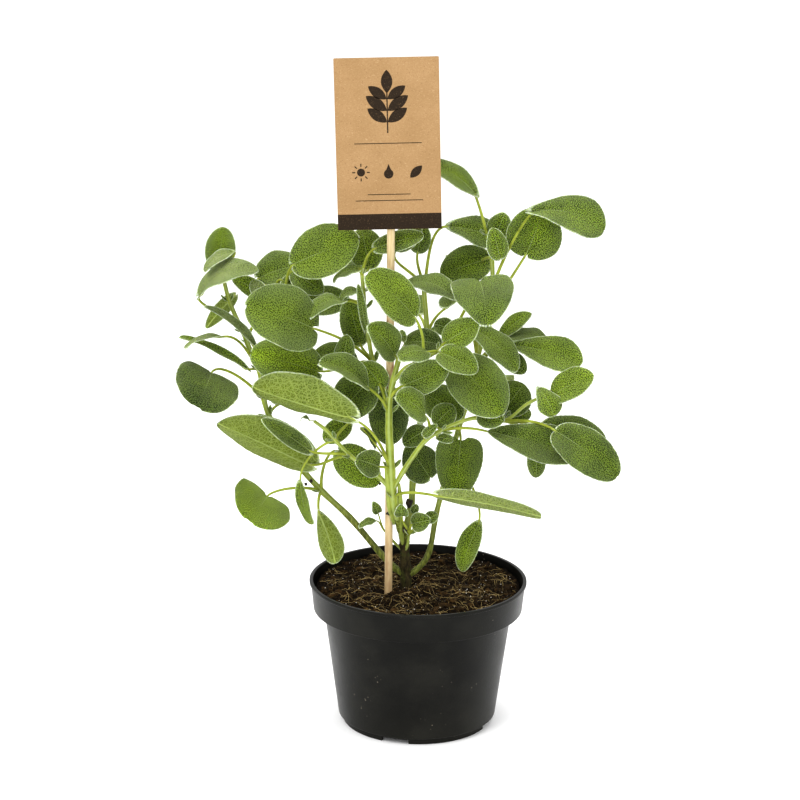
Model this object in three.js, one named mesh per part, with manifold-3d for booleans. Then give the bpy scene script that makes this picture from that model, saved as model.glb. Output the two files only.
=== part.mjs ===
// A young broad-leaved sage plant in a black plastic nursery pot, with a kraft card on a wooden stake.
// Millimetres, +Z up. The origin is the centre of the pot's base, where it rests; -Y is the front.
import * as THREE from 'three';
import { mergeVertices } from 'three/addons/utils/BufferGeometryUtils.js';
import Module from 'manifold-3d';

const wasm = await Module();
wasm.setup();

// ---------------------------------------------------------------- driving dimensions

const GAP = 0.3; // clearance between neighbouring pieces

// pot: a thin cone with a wide rim band, a lip and a foot ring
const POT_HEIGHT = 101.6;
const LIP_RADIUS = 75;
const LIP_DROP = 2;
const BAND_TOP_RADIUS = 74;
const BAND_BOTTOM_RADIUS = 72.1;
const BAND_BOTTOM_Z = 81.3;
const WALL_TOP_RADIUS = 64.9;
const WALL_BOTTOM_RADIUS = 54.6;
const WALL_BOTTOM_Z = 5;
const WALL = 1.5;
const FLOOR_TOP_Z = 4.5;
const FOOT_OUTER_RADIUS = 51.5;
const FOOT_INNER_RADIUS = 48.5;
const RECESS_Z = 3;
const CENTRE_PAD_RADIUS = 18;
const FOOT_GAP_WIDTH = 19;
const FOOT_GAP_ANGLES = [-17, 73, 163, 253]; // degrees from the front
const DRAIN_RADIUS = 4.5;
const DRAIN_RING_RADIUS = 34;
const DRAIN_COUNT = 8;
const POT_SIDES = 48;

// soil: fills the pot to a little under its rim
const SOIL_TOP_Z = 96.6;
const SOIL_SIDES = 40;
const SOIL_RINGS = [14, 28, 42, 56];
const SOIL_RELIEF = 1.1;

// stake and card
const STAKE_FOOT = new THREE.Vector3(-20.3, -19, 17);
const STAKE_TOP = new THREE.Vector3(-20.4, -17, 446);
const STAKE_RADIUS = 2.65;
const STAKE_SIDES = 16;
const CARD_SIZE = new THREE.Vector3(68, 0.8, 112.6);
const CARD_CENTRE_X = -22.7;
const CARD_CENTRE_Z = 407;
const CARD_LEAN = 1.7; // degrees, top towards the left

// leafy stems
const STEM_SIDES = 5;
const STEM_STEPS = 2; // rings for each stretch between two points of a stem
const ROOT_TAPER = 0.5; // a stem's radius at its start, inside its parent, as a share of its radius outside
const PETIOLE_SIDES = 4;
const PETIOLE_STEPS = 3;
const PETIOLE_RADIUS = 1.0;
const BLADE_THICKNESS = 0.9;
const LARGE_BLADE = { stations: [0.06, 0.26, 0.6, 0.9], across: [-1, 0, 1] };
const SMALL_BLADE = { stations: [0.12, 0.48, 0.86], across: [-1, 0, 1] };
const SMALL_LIMIT = 15; // a blade narrower than this is small

// The plant is set out as it is sighted from this point in front of it. A place is [across, depth, height]:
// across and height are read in the plane y = 0, and the place is then slid along its sight line to that
// depth behind (+) or in front of (-) the plane.
const VIEWPOINT = new THREE.Vector3(-13.5, -1600, 665);

// The ways a blade's upper face looks.
const FRONT = [0, -1, 0.4];
const FRONT_UP = [0, -0.8, 0.75];
const UP = [0, -0.25, 1];
const AWAY = [0, 0.9, 0.45];

// How a blade is bent: arch and bow are the rise of its midrib above and beside the straight line from base
// to tip, fold is the angle that each half is raised, twist turns the tip against the base, lobe draws the
// base's corners back beside the petiole, widest moves the broadest place towards the tip, blunt below 0.5
// makes both ends rounder, skew lays the midrib to one side, and bend is how far the petiole follows the
// blade's line before it turns to the stem.
const BLADE_SHAPE = {
  arch: 3, bow: 0, fold: 10, twist: 0, lobe: 0.1, wave: 0.5, widest: 0.9, blunt: 0.5, skew: 0, bend: 0.35,
};

// ---------------------------------------------------------------- the plant

const CROWN = {
  radii: [3.5, 2.3],
  path: [
    [-8.4, -4, 60], [-8.3, -4, 96], [-9, -5, 115], [-10.3, -8, 131], [-13.2, -17, 142], [-15.8, -23.5, 150],
  ],
};

// Each leafy stem: its path from inside its parent, its radius at both ends, and its leaves. A leaf is
// [point of the path it grows from, blade base, blade tip, blade width, way its upper face looks, shape].
const LEAFY_STEMS = [
  {
    name: 'leafy_stem_centre',
    parent: 'stem_crown',
    radii: [3.2, 1.4],
    path: [
      [-14.3, -20, 145], [-16.8, -26, 153], [-18, -29, 160], [-18.4, -30, 164.6], [-19.2, -33, 179.5],
      [-20.2, -34, 196], [-20.8, -34, 208], [-20.8, -34, 219], [-20.6, -33, 229], [-18.3, -32, 242],
      [-15, -31, 256], [-13.6, -30, 263],
    ],
    leaves: [
      [2, [16, -36, 161], [84, -48, 147], 15, AWAY, { fold: 18, arch: 2, widest: 0.75, blunt: 0.33 }],
      [4, [-28, -42, 182], [-43, -56, 187], 19, FRONT, { arch: 2, blunt: 0.42 }],
      [4, [-47, -44, 218], [-113, -50, 239], 34, AWAY,
        { fold: 18, arch: 4, widest: 1.1, blunt: 0.45, skew: -0.4 }],
      [4, [-39, -26, 208], [-30, -24, 194], 7, [1, -0.6, 0.4], {}],
      [7, [-37, -42, 239], [-68, -54, 255], 27, [0.1, -0.5, 0.9], { fold: 24, arch: 4 }],
      [7, [-34, -26, 243], [-55, -30, 218], 30, FRONT, { arch: 4 }],
      [8, [-22, -25, 235], [-20, -25, 197], 27, [0, -1, 0.1], { arch: 0, fold: 0, wave: 0 }],
      [8, [-10, -42, 240], [19, -52, 254], 23, [0, -1, 0.1], { arch: 3 }],
      [8, [-25, -27, 238], [-39, -30, 255], 18, FRONT, { arch: 1 }],
      [10, [-18, -37, 261], [-35, -48, 281], 24, FRONT_UP, { fold: 18 }],
      [11, [-11, -27, 270], [-13, -25, 278], 5, FRONT, {}],
    ],
  },
  {
    name: 'leafy_stem_right_spray',
    parent: 'leafy_stem_centre',
    radii: [1.6, 1],
    path: [
      [-18.4, -30, 164.6], [-10.4, -34, 179.6], [-3.6, -36, 190.4], [3.7, -38, 200.3], [13.8, -39, 207.5],
      [24, -38, 212.5], [37.5, -36, 216.9], [57.2, -32, 215], [72.5, -28, 227], [89.2, -26, 235.6],
    ],
    leaves: [
      [3, [3, -54, 219], [-16, -70, 232], 23, FRONT_UP, { widest: 1 }],
      [3, [3, -42, 204], [12, -45, 212], 7, FRONT, {}],
      [4, [12, -35, 203], [23, -33, 201], 7, FRONT, {}],
      [4, [11, -32, 213], [23, -32, 225], 17, FRONT, { widest: 1 }],
      [4, [46, -40, 208], [111, -58, 190], 31, [0, -0.75, 0.8],
        { arch: 1, fold: 16, widest: 1.5, lobe: 0 }],
      [6, [40, -42, 219], [57, -50, 215], 16, FRONT, { widest: 1 }],
      [7, [57, -22, 222], [70, -14, 241], 26, FRONT, {}],
      [7, [62, -22, 217], [75, -16, 222], 12, FRONT, {}],
      [7, [93, -52, 208], [135, -74, 176], 30, [0.1, -0.9, 0.5],
        { arch: 5, widest: 1, lobe: 0.04, blunt: 0.4 }],
      [7, [85, -20, 210], [127, -26, 201], 24, FRONT_UP, { arch: 4 }],
      [7, [79, -26, 198], [80, -24, 175], 13, FRONT, {}],
      [9, [80, -36, 238], [91, -46, 219], 18, [0.3, -0.9, 0.5], { widest: 1.8, blunt: 0.42, bend: -0.4 }],
      [9, [91, -32, 234], [117, -46, 246], 24, FRONT_UP, { blunt: 0.4 }],
    ],
  },
  {
    name: 'leafy_stem_left_spray',
    parent: 'leafy_stem_centre',
    radii: [1.6, 1.1],
    path: [
      [-18.4, -30, 164.6], [-26.7, -32, 174], [-35.6, -32, 181], [-46, -30, 188.6], [-57, -27, 200],
      [-63.6, -25, 207.5], [-71.7, -23, 213.8],
    ],
    leaves: [
      [3, [-75, -16, 184], [-137, -34, 212], 36, [-0.2, 0.9, 0.5],
        { fold: 20, arch: 3, twist: -25, skew: -0.15 }],
      [3, [-75, -29, 193], [-107, -43, 215], 13, [0.3, -0.8, 0.3], { arch: 2 }],
      [4, [-81, -26, 169], [-73, -24, 140], 10, [-0.5, -0.8, 0.1], { blunt: 0.4 }],
      [4, [-48, -14, 213], [-65, -13, 200], 16, FRONT, {}],
      [6, [-75, -21, 214], [-81, -20, 214], 4, UP, {}],
    ],
  },
  {
    name: 'leafy_stem_upper',
    parent: 'leafy_stem_centre',
    radii: [1.6, 1.2],
    path: [[-18.3, -32, 242], [-9.6, -37, 251.5], [-0.2, -40, 256.4], [11.1, -42, 262.8]],
    leaves: [
      [2, [-5, -44, 288], [-36, -66, 316], 30, [0.1, -0.85, 0.6], { arch: 3, blunt: 0.45 }],
      [3, [4, -49, 263], [-15, -60, 259], 18, [0, -0.5, 0.9], { arch: 3, fold: -10 }],
      [3, [39, -30, 312], [45, -62, 282], 42, [0, -0.57, 0.82],
        { arch: 6, widest: 0.62, lobe: 0.1, bend: 0.1 }],
      [3, [17, -44, 270], [39, -58, 283], 20, FRONT, { arch: 2 }],
      [3, [14, -50, 262], [38, -66, 249], 21, [0.1, -0.9, 0.6], { arch: 3, fold: 14 }],
    ],
  },
  {
    name: 'leafy_stem_back',
    parent: 'stem_crown',
    radii: [2.3, 1.5],
    path: [
      [-9.8, -6, 126], [-8.6, -1, 137], [-5.3, 5, 154], [-4.2, 10, 172.5], [-1, 14, 201], [0.6, 16, 216],
      [2.7, 18, 236], [4.3, 20, 274.5], [1.9, 20, 305.5],
    ],
    leaves: [
      [3, [7, -2, 175], [-8, -10, 197], 26, FRONT, { arch: 2 }],
      [4, [4, -12, 208], [-11, -18, 198], 15, FRONT, {}],
      [6, [5, -12, 233], [29, -18, 218], 26, FRONT, { arch: 2 }],
      [7, [22, -8, 278], [9, -4, 282], 13, FRONT, {}],
      [7, [13, 2, 268], [-11, -4, 269], 20, FRONT_UP, {}],
      [8, [19, 20, 349], [52, 30, 340], 24, [0.1, -0.8, 0.7], { arch: 3, widest: 1.4 }],
      [8, [-16, 0, 334], [-1, 2, 350], 16, FRONT, {}],
      [8, [-2.5, 12, 332], [1.5, 10, 350], 15, FRONT, {}],
      [6, [10, 36, 246], [34, 74, 238], 28, [0, 0.5, 1], { arch: 6 }],
      [6, [-8, 36, 228], [-26, 76, 234], 27, [0, 0.5, 1], { arch: 6 }],
      [7, [-3, 40, 290], [-24, 78, 301], 28, [0, 0.4, 1], { arch: 7 }],
      [7, [18, 40, 294], [44, 74, 303], 27, [0, 0.4, 1], { arch: 6 }],
      [4, [6, 34, 186], [24, 70, 178], 26, [0, 0.5, 1], { arch: 5 }],
    ],
  },
  {
    name: 'leafy_stem_inner_left',
    parent: 'leafy_stem_back',
    radii: [1.6, 1.2],
    path: [
      [0.6, 16, 216], [-10, 7, 227], [-21, -2, 240], [-31, -8, 254], [-35.4, -10, 275], [-37.5, -11, 291.4],
      [-38.5, -12, 303], [-39.6, -13, 315.4],
    ],
    leaves: [
      [3, [-70, -28, 249], [-114, -38, 261], 32, FRONT, { arch: 4, blunt: 0.42 }],
      [3, [-73, -34, 279], [-117, -60, 293], 44, [0.1, -0.85, 0.5], { arch: 4, lobe: 0.12, blunt: 0.4 }],
      [3, [-53, -24, 252], [-49, -26, 274], 14, FRONT, { arch: 1 }],
      [3, [-45, -2, 255], [-72, 4, 261], 22, FRONT_UP, {}],
      [3, [-41, 2, 269], [-49, 6, 299], 20, FRONT, {}],
      [5, [-52, -20, 297], [-75, -34, 286], 18, [0.2, -0.1, 1], { arch: 6 }],
      [5, [-51, 8, 298], [-78, 18, 296], 21, FRONT, {}],
      [6, [-42, -15, 304], [-54, -18, 298], 12, UP, {}],
      [7, [-40, -8, 319], [-59, -5, 311], 16, UP, {}],
      [7, [-35, -2, 321], [-40, 8, 347], 24, FRONT, {}],
      [7, [-30, -9, 334], [1, -10, 343], 14, FRONT, { blunt: 0.42 }],
      [4, [-37, -17, 278], [-42, -20, 309], 6, FRONT, { blunt: 0.4 }],
      [7, [-48, 18, 322], [-66, 54, 328], 26, [0, 0.3, 1], { arch: 5 }],
    ],
  },
  {
    name: 'leafy_stem_left_tall',
    parent: 'stem_crown',
    radii: [2.1, 1.3],
    path: [
      [-9, -4.5, 104], [-16, -2, 109], [-24.3, 0, 117.6], [-47, 2, 145], [-66.3, 4, 164], [-79.3, 6, 179],
      [-91.5, 8, 200], [-101.6, 10, 215.7], [-105.6, 10, 228.3], [-107.2, 9.5, 239], [-108.8, 9, 249],
      [-116.7, 8, 268], [-119.4, 8, 275.5], [-127.9, 8, 295.4], [-131.8, 8, 310.5],
    ],
    leaves: [
      [4, [-104, -4, 160], [-116, -40, 142], 44, [0.5, -0.4, 0.75], { arch: 4, widest: 1.05, blunt: 0.28 }],
      [4, [-68, 2, 148], [-57, -6, 112], 19, [0.2, 0.95, 0.1], { arch: 3, fold: 12, widest: 1.6 }],
      [4, [-54, -6, 192], [-28, -20, 169], 26, FRONT, { arch: 3 }],
      [8, [-141, -12, 247], [-151, -44, 223], 45, [0.4, -0.5, 0.78],
        { arch: 5, lobe: 0.04, widest: 1.05, blunt: 0.28 }],
      [10, [-118, 4, 250], [-162, -6, 272], 10, [0.4, -0.35, 0.85], { fold: 26 }],
      [10, [-135, -8, 272], [-159, -16, 264], 12, [-0.2, -0.05, 1], {}],
      [10, [-112, -2, 265], [-145, -18, 293], 10, [0.6, -0.45, 0.6], { fold: 28, bow: -2 }],
      [12, [-147, 0, 301], [-109, -10, 318], 27, [-0.2, -0.45, 1], { arch: 9 }],
      [11, [-105, 16, 301], [-126, 10, 313], 13, FRONT, {}],
      [13, [-125, 22, 300], [-144, 26, 278], 11, [0.3, 0.9, 0.5], {}],
      [14, [-126, 3, 330], [-145, -3, 317], 12, [0.2, -0.25, 1], {}],
      [14, [-136, 14, 318], [-131.5, 20, 347], 21, FRONT, { arch: 1, widest: 1 }],
      [7, [-95, 28, 226], [-80, 62, 232], 26, [0, 0.3, 1], { arch: 5 }],
    ],
  },
  {
    name: 'leafy_stem_left_inner',
    parent: 'leafy_stem_left_tall',
    radii: [1.7, 1.3],
    path: [[-107.2, 9.5, 239], [-102, 13, 254], [-96, 13, 277], [-92, 9, 298]],
    leaves: [
      [3, [-84, 2, 323], [-42, -13, 340], 36, [0, -1, 0.45], { arch: 3, widest: 1 }],
      [3, [-85, 14, 317], [-66, 6, 303], 18, FRONT, {}],
      [2, [-92, 16, 311], [-77, 14, 302], 15, FRONT, {}],
      [3, [-108, 26, 313], [-78, 32, 321], 30, FRONT_UP, { arch: 4 }],
      [3, [-106, -6, 300], [-113, -4, 311], 11, FRONT, {}],
      [2, [-90, 30, 288], [-101, 64, 283], 26, [0, 0.3, 1], { arch: 5 }],
    ],
  },
  {
    name: 'leafy_stem_right_tall',
    parent: 'stem_crown',
    radii: [1.8, 1.3],
    path: [
      [-8, -4, 103], [-2.8, -3, 106.5], [6, -1, 117], [11.9, 2, 147.6], [15.1, 5, 162], [20.9, 8, 187],
      [26.1, 10, 207.6], [31.2, 12, 225.3], [37.5, 14, 254], [43.8, 15, 281.8], [47.4, 15, 305.9],
      [47, 15, 326.3], [44.7, 14, 342.6],
    ],
    leaves: [
      [5, [41, -4, 141], [30, -10, 107], 17, [-0.4, -0.85, 0.2], { fold: 18, widest: 1 }],
      [6, [28, -2, 201], [25, -22, 161], 33, [0, -0.95, 0.5],
        { arch: 3, lobe: 0.06, widest: 0.62, blunt: 0.36 }],
      [8, [24, -30, 257], [55, -56, 219], 38, [0.1, -0.9, 0.5], { arch: 4, widest: 1 }],
      [8, [39, -10, 277], [65, -26, 250], 24, [0.3, -0.6, 0.8], { arch: 4 }],
      [8, [57, 2, 261], [71, -2, 249], 14, FRONT, {}],
      [8, [62, -8, 268], [109, -22, 256], 26, [0.2, -0.8, 0.6], { arch: 4, widest: 1.8 }],
      [8, [22, -22, 301], [-12, -12, 309], 27, [0.1, -0.3, 1], { arch: 6 }],
      [9, [55, 8, 274], [74, 6, 290], 14, [-0.5, -0.6, 0.5], {}],
      [9, [56, 6, 272], [86, -4, 271], 21, [0.1, -0.3, 1], { arch: 4 }],
      [10, [73, 0, 359], [121, -14, 347], 31, [0.1, -0.7, 0.7],
        { arch: 6, bow: 3, widest: 1.9, blunt: 0.4, bend: 0.05 }],
      [9, [70, 14, 331], [81, 8, 361], 38, [0.1, -0.95, 0.4], { arch: 3, blunt: 0.42, bend: 0.1 }],
      [11, [44, 30, 327], [13, 26, 316], 27, FRONT, {}],
      [11, [52, 4, 328], [47, 0, 348], 15, FRONT, {}],
      [12, [49, 16, 342], [55, 14, 358], 17, FRONT, {}],
      [11, [35, 10, 371], [2, 2, 391], 18, [0.25, -0.7, 0.75], { arch: 5, widest: 1.1, bend: 0.05 }],
      [8, [45, 34, 242], [56, 72, 238], 28, [0, 0.5, 1], { arch: 5 }],
      [11, [36, 40, 324], [22, 76, 322], 27, [0, 0.4, 1], { arch: 5 }],
    ],
  },
  {
    name: 'basal_sprout_left',
    parent: 'stem_crown',
    radii: [0.9, 0.7],
    path: [[-9.6, -5.5, 120], [-16, -8, 127], [-23.5, -9.5, 136]],
    leaves: [
      [2, [-30, -13, 143], [-41, -17, 138], 7, [0, -0.5, 1], { arch: 2 }],
      [2, [-28, -11, 149], [-31, -14, 157], 7, FRONT, {}],
    ],
  },
  {
    name: 'basal_sprout_right',
    parent: 'stem_crown',
    radii: [1.1, 0.8],
    path: [[-9.8, -6, 120], [-7.4, -11, 126], [-6.6, -15, 133]],
    leaves: [
      [2, [-12, -26, 147], [-12, -31, 155], 10, FRONT, { widest: 1 }],
      [2, [-4, -18, 141], [8, -24, 144], 14, FRONT, { widest: 1 }],
      [2, [-4, -14, 149], [-1, -13, 155], 6, FRONT, {}],
      [2, [5, -13, 144], [13, -12, 148], 9, FRONT, {}],
    ],
  },
];

// ---------------------------------------------------------------- solids

/** A closed geometry as a solid that can be joined and cut. */
function toSolid(geometry) {
  const bare = geometry.clone();
  bare.deleteAttribute('normal');
  bare.deleteAttribute('uv');
  const merged = mergeVertices(bare, 1e-4);
  return new wasm.Manifold(new wasm.Mesh({
    numProp: 3,
    vertProperties: new Float32Array(merged.attributes.position.array),
    triVerts: new Uint32Array(merged.index.array),
  }));
}

/** A solid's surface as a geometry. */
function toGeometry(solid) {
  const mesh = solid.getMesh();
  const geometry = new THREE.BufferGeometry();
  geometry.setAttribute('position', new THREE.BufferAttribute(mesh.vertProperties, 3));
  geometry.setIndex(new THREE.BufferAttribute(mesh.triVerts, 1));
  geometry.computeVertexNormals();
  return geometry;
}

/** A geometry from its points and the corners of its triangles. */
function meshOf(points, triangles) {
  const geometry = new THREE.BufferGeometry().setFromPoints(points);
  geometry.setIndex(triangles.flat());
  return geometry;
}

/** A turned geometry about +Z from [radius, height] points that start and end on the axis. */
function turned(profile, sides) {
  const points = profile.map(([radius, height]) => new THREE.Vector2(radius, height));
  const geometry = new THREE.LatheGeometry(points, sides);
  geometry.rotateX(Math.PI / 2);
  return geometry;
}

/** A round bar through the given centres, closed by a flat face at each end. */
function bar(centres, radii, sides) {
  const last = centres.length - 1;
  const points = [];
  let across = null;
  centres.forEach((centre, i) => {
    const ahead = centres[Math.min(i + 1, last)];
    const behind = centres[Math.max(i - 1, 0)];
    const along = ahead.clone().sub(behind).normalize();
    const sideways = new THREE.Vector3(...(Math.abs(along.x) < 0.9 ? [1, 0, 0] : [0, 1, 0]));
    const start = across ?? sideways;
    across = start.clone().addScaledVector(along, -start.dot(along)).normalize();
    const other = along.clone().cross(across);
    for (let k = 0; k < sides; k += 1) {
      const turn = (2 * Math.PI * k) / sides;
      points.push(centre.clone()
        .addScaledVector(across, radii[i] * Math.cos(turn))
        .addScaledVector(other, radii[i] * Math.sin(turn)));
    }
  });
  const triangles = [];
  for (let i = 0; i < last; i += 1) {
    for (let k = 0; k < sides; k += 1) {
      const next = (k + 1) % sides;
      const [a, b] = [i * sides + k, i * sides + next];
      triangles.push([a, b, b + sides], [a, b + sides, a + sides]);
    }
  }
  for (let k = 1; k < sides - 1; k += 1) {
    triangles.push([0, k + 1, k], [last * sides, last * sides + k, last * sides + k + 1]);
  }
  return meshOf(points, triangles);
}

// ---------------------------------------------------------------- pot, soil, stake, card

function potSolid() {
  const innerWall = (z) => {
    const rise = (z - WALL_BOTTOM_Z) / (BAND_BOTTOM_Z - WALL_BOTTOM_Z);
    return WALL_BOTTOM_RADIUS + (WALL_TOP_RADIUS - WALL_BOTTOM_RADIUS) * rise - WALL;
  };
  const lipBottom = POT_HEIGHT - LIP_DROP;
  const pot = toSolid(turned([
    [0, 0],
    [CENTRE_PAD_RADIUS, 0],
    [CENTRE_PAD_RADIUS + 1, RECESS_Z],
    [FOOT_INNER_RADIUS, RECESS_Z],
    [FOOT_INNER_RADIUS, 0],
    [FOOT_OUTER_RADIUS, 0],
    [FOOT_OUTER_RADIUS, WALL_BOTTOM_Z - 1],
    [WALL_BOTTOM_RADIUS, WALL_BOTTOM_Z],
    [WALL_TOP_RADIUS, BAND_BOTTOM_Z - 1],
    [BAND_BOTTOM_RADIUS, BAND_BOTTOM_Z],
    [BAND_TOP_RADIUS, lipBottom],
    [LIP_RADIUS, lipBottom],
    [LIP_RADIUS, POT_HEIGHT],
    [BAND_TOP_RADIUS - WALL, POT_HEIGHT],
    [BAND_BOTTOM_RADIUS - WALL, BAND_BOTTOM_Z + WALL],
    [WALL_TOP_RADIUS - WALL, BAND_BOTTOM_Z + WALL],
    [innerWall(FLOOR_TOP_Z + WALL), FLOOR_TOP_Z + WALL],
    [innerWall(FLOOR_TOP_Z) - WALL, FLOOR_TOP_Z],
    [0, FLOOR_TOP_Z],
  ], POT_SIDES));

  const cutters = [];
  for (let i = 0; i < DRAIN_COUNT; i += 1) {
    const turn = (2 * Math.PI * (i + 0.5)) / DRAIN_COUNT;
    const drain = new THREE.CylinderGeometry(DRAIN_RADIUS, DRAIN_RADIUS, 3 * FLOOR_TOP_Z, 12);
    drain.rotateX(Math.PI / 2);
    drain.translate(DRAIN_RING_RADIUS * Math.cos(turn), DRAIN_RING_RADIUS * Math.sin(turn), 0);
    cutters.push(toSolid(drain));
  }
  FOOT_GAP_ANGLES.forEach((angle) => {
    const gap = new THREE.BoxGeometry(FOOT_GAP_WIDTH, 12, 2 * RECESS_Z);
    gap.translate(0, -(FOOT_INNER_RADIUS + FOOT_OUTER_RADIUS) / 2, 0);
    gap.rotateZ(THREE.MathUtils.degToRad(angle));
    cutters.push(toSolid(gap));
  });
  return cutters.reduce((solid, cutter) => solid.subtract(cutter), pot);
}

/** The uneven height of the soil's surface over its mean, fading out towards the pot's wall. */
function soilRelief(x, y) {
  const fade = 1 - (Math.hypot(x, y) / BAND_BOTTOM_RADIUS) ** 4;
  return SOIL_RELIEF * fade * (Math.sin(x / 9 + 1) * Math.cos(y / 11) + 0.6 * Math.sin((x - y) / 6));
}

function soilSolid(holes) {
  const bandInside = BAND_BOTTOM_RADIUS - WALL - GAP;
  const wallInside = WALL_TOP_RADIUS - WALL - GAP;
  const slope = (WALL_TOP_RADIUS - WALL_BOTTOM_RADIUS) / (BAND_BOTTOM_Z - WALL_BOTTOM_Z);
  const ledge = BAND_BOTTOM_Z + WALL + GAP;
  const floor = FLOOR_TOP_Z + GAP;
  const floorRadius = wallInside - slope * (ledge - floor) - WALL - GAP;
  const soil = turned([
    [0, floor],
    [floorRadius, floor],
    [wallInside - slope * (ledge - floor - WALL) - GAP, floor + WALL],
    [wallInside - GAP, ledge],
    [bandInside - GAP, ledge],
    [bandInside, SOIL_TOP_Z],
    ...SOIL_RINGS.map((radius) => [radius, SOIL_TOP_Z]).reverse(),
    [0, SOIL_TOP_Z],
  ], SOIL_SIDES);
  const { position } = soil.attributes;
  for (let i = 0; i < position.count; i += 1) {
    if (position.getZ(i) > SOIL_TOP_Z - 0.01) {
      position.setZ(i, SOIL_TOP_Z + soilRelief(position.getX(i), position.getY(i)));
    }
  }
  return holes.reduce((solid, hole) => solid.subtract(hole), toSolid(soil));
}

function stakeSolid(extra = 0) {
  const down = STAKE_FOOT.clone().sub(STAKE_TOP).normalize();
  const foot = STAKE_FOOT.clone().addScaledVector(down, extra);
  const radius = STAKE_RADIUS + extra;
  return toSolid(bar([foot, STAKE_TOP], [radius, radius], STAKE_SIDES));
}

// ---------------------------------------------------------------- stems and leaves

/** The point in space of a place [across, depth, height] sighted from the viewpoint. */
function sighted([across, depth, height]) {
  const inPlane = new THREE.Vector3(across, 0, height);
  return inPlane.sub(VIEWPOINT).multiplyScalar(1 - depth / VIEWPOINT.y).add(VIEWPOINT);
}

/** The centres and radii of a stem's rings. extra thickens it and lengthens both its ends. */
function stemRings({ path, radii }, extra = 0) {
  const curve = new THREE.CatmullRomCurve3(path.map(sighted), false, 'centripetal');
  const count = (path.length - 1) * STEM_STEPS;
  const centres = [];
  const ringRadii = [];
  for (let i = 0; i <= count; i += 1) {
    centres.push(curve.getPoint(i / count));
    ringRadii.push(THREE.MathUtils.lerp(radii[0], radii[1], i / count) + extra);
  }
  ringRadii[0] = radii[0] * ROOT_TAPER + extra;
  if (extra > 0) {
    centres[0].addScaledVector(curve.getTangent(0), -extra);
    centres[count].addScaledVector(curve.getTangent(1), extra);
  }
  return { curve, centres, ringRadii };
}

function stemSolid(stem, extra = 0) {
  const { centres, ringRadii } = stemRings(stem, extra);
  return toSolid(bar(centres, ringRadii, STEM_SIDES));
}

/** A leaf's frame: its base, length and width, and the directions along it, across it and off its face. */
function leafFrame(basePlace, tipPlace, width, facing, shape) {
  const base = sighted(basePlace);
  const along = sighted(tipPlace).sub(base);
  const length = along.length();
  along.normalize();
  const normal = new THREE.Vector3(...facing);
  normal.addScaledVector(along, -normal.dot(along)).normalize();
  const across = normal.clone().cross(along);
  return { base, length, width, along, across, normal, ...BLADE_SHAPE, ...shape };
}

/** A point of the blade's middle surface: t runs from base to tip, v from edge to edge. */
function bladePoint(leaf, t, v) {
  const half = (leaf.width / 2) * Math.sin(Math.PI * t ** leaf.widest) ** leaf.blunt;
  const rise = 4 * t * (1 - t);
  const fold = THREE.MathUtils.degToRad(leaf.fold);
  const swing = THREE.MathUtils.degToRad(leaf.twist) * (t - 0.5);
  const flat = half * (v + leaf.skew * (1 - v * v)) * Math.cos(fold);
  const wave = leaf.wave * v * v * Math.sin(2 * Math.PI * (1.5 * t + 0.2 * v));
  const lift = half * Math.abs(v) ** 1.5 * Math.sin(fold) + wave;
  const back = leaf.lobe * leaf.length * v * v * (1 - t) ** 2;
  return leaf.base.clone()
    .addScaledVector(leaf.along, leaf.length * t - back)
    .addScaledVector(leaf.across, leaf.bow * rise + flat * Math.cos(swing) - lift * Math.sin(swing))
    .addScaledVector(leaf.normal, leaf.arch * rise + lift * Math.cos(swing) + flat * Math.sin(swing));
}

/** The direction off the blade's upper face at a point of it. */
function bladeNormal(leaf, t, v) {
  const step = 0.02;
  const inside = THREE.MathUtils.clamp(t, 2 * step, 1 - 2 * step);
  const ahead = bladePoint(leaf, inside + step, v).sub(bladePoint(leaf, inside - step, v));
  const beside = bladePoint(leaf, inside, v + step).sub(bladePoint(leaf, inside, v - step));
  return ahead.cross(beside).normalize();
}

/** A blade: two faces of like triangles, the lower below the upper, joined by a rim. */
function bladeSolid(leaf) {
  const { stations, across } = leaf.width < SMALL_LIMIT ? SMALL_BLADE : LARGE_BLADE;
  const rows = [[[0, 0]], ...stations.map((t) => across.map((v) => [t, v])), [[1, 0]]];
  const points = [];
  const rowsOfIndices = rows.map((row) => row.map(([t, v]) => {
    const middle = bladePoint(leaf, t, v);
    const off = bladeNormal(leaf, t, v).multiplyScalar(BLADE_THICKNESS / 2);
    points.push(middle.clone().add(off), middle.clone().sub(off));
    return points.length - 2;
  }));
  const upper = [];
  for (let i = 0; i < rowsOfIndices.length - 1; i += 1) {
    const [row, next] = [rowsOfIndices[i], rowsOfIndices[i + 1]];
    for (let j = 0; j < across.length - 1; j += 1) {
      if (row.length === 1) {
        upper.push([row[0], next[j], next[j + 1]]);
      } else if (next.length === 1) {
        upper.push([row[j], next[0], row[j + 1]]);
      } else {
        upper.push([row[j], next[j], next[j + 1]], [row[j], next[j + 1], row[j + 1]]);
      }
    }
  }
  const lower = upper.map(([a, b, c]) => [a + 1, c + 1, b + 1]);
  const middleRows = rowsOfIndices.slice(1, -1);
  const edge = [
    rowsOfIndices[0][0],
    ...middleRows.map((row) => row[0]),
    rowsOfIndices.at(-1)[0],
    ...middleRows.map((row) => row.at(-1)).reverse(),
  ];
  const rim = edge.flatMap((a, i) => {
    const b = edge[(i + 1) % edge.length];
    return [[a + 1, b + 1, b], [a + 1, b, a]];
  });
  return toSolid(meshOf(points, [...upper, ...lower, ...rim]));
}

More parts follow.
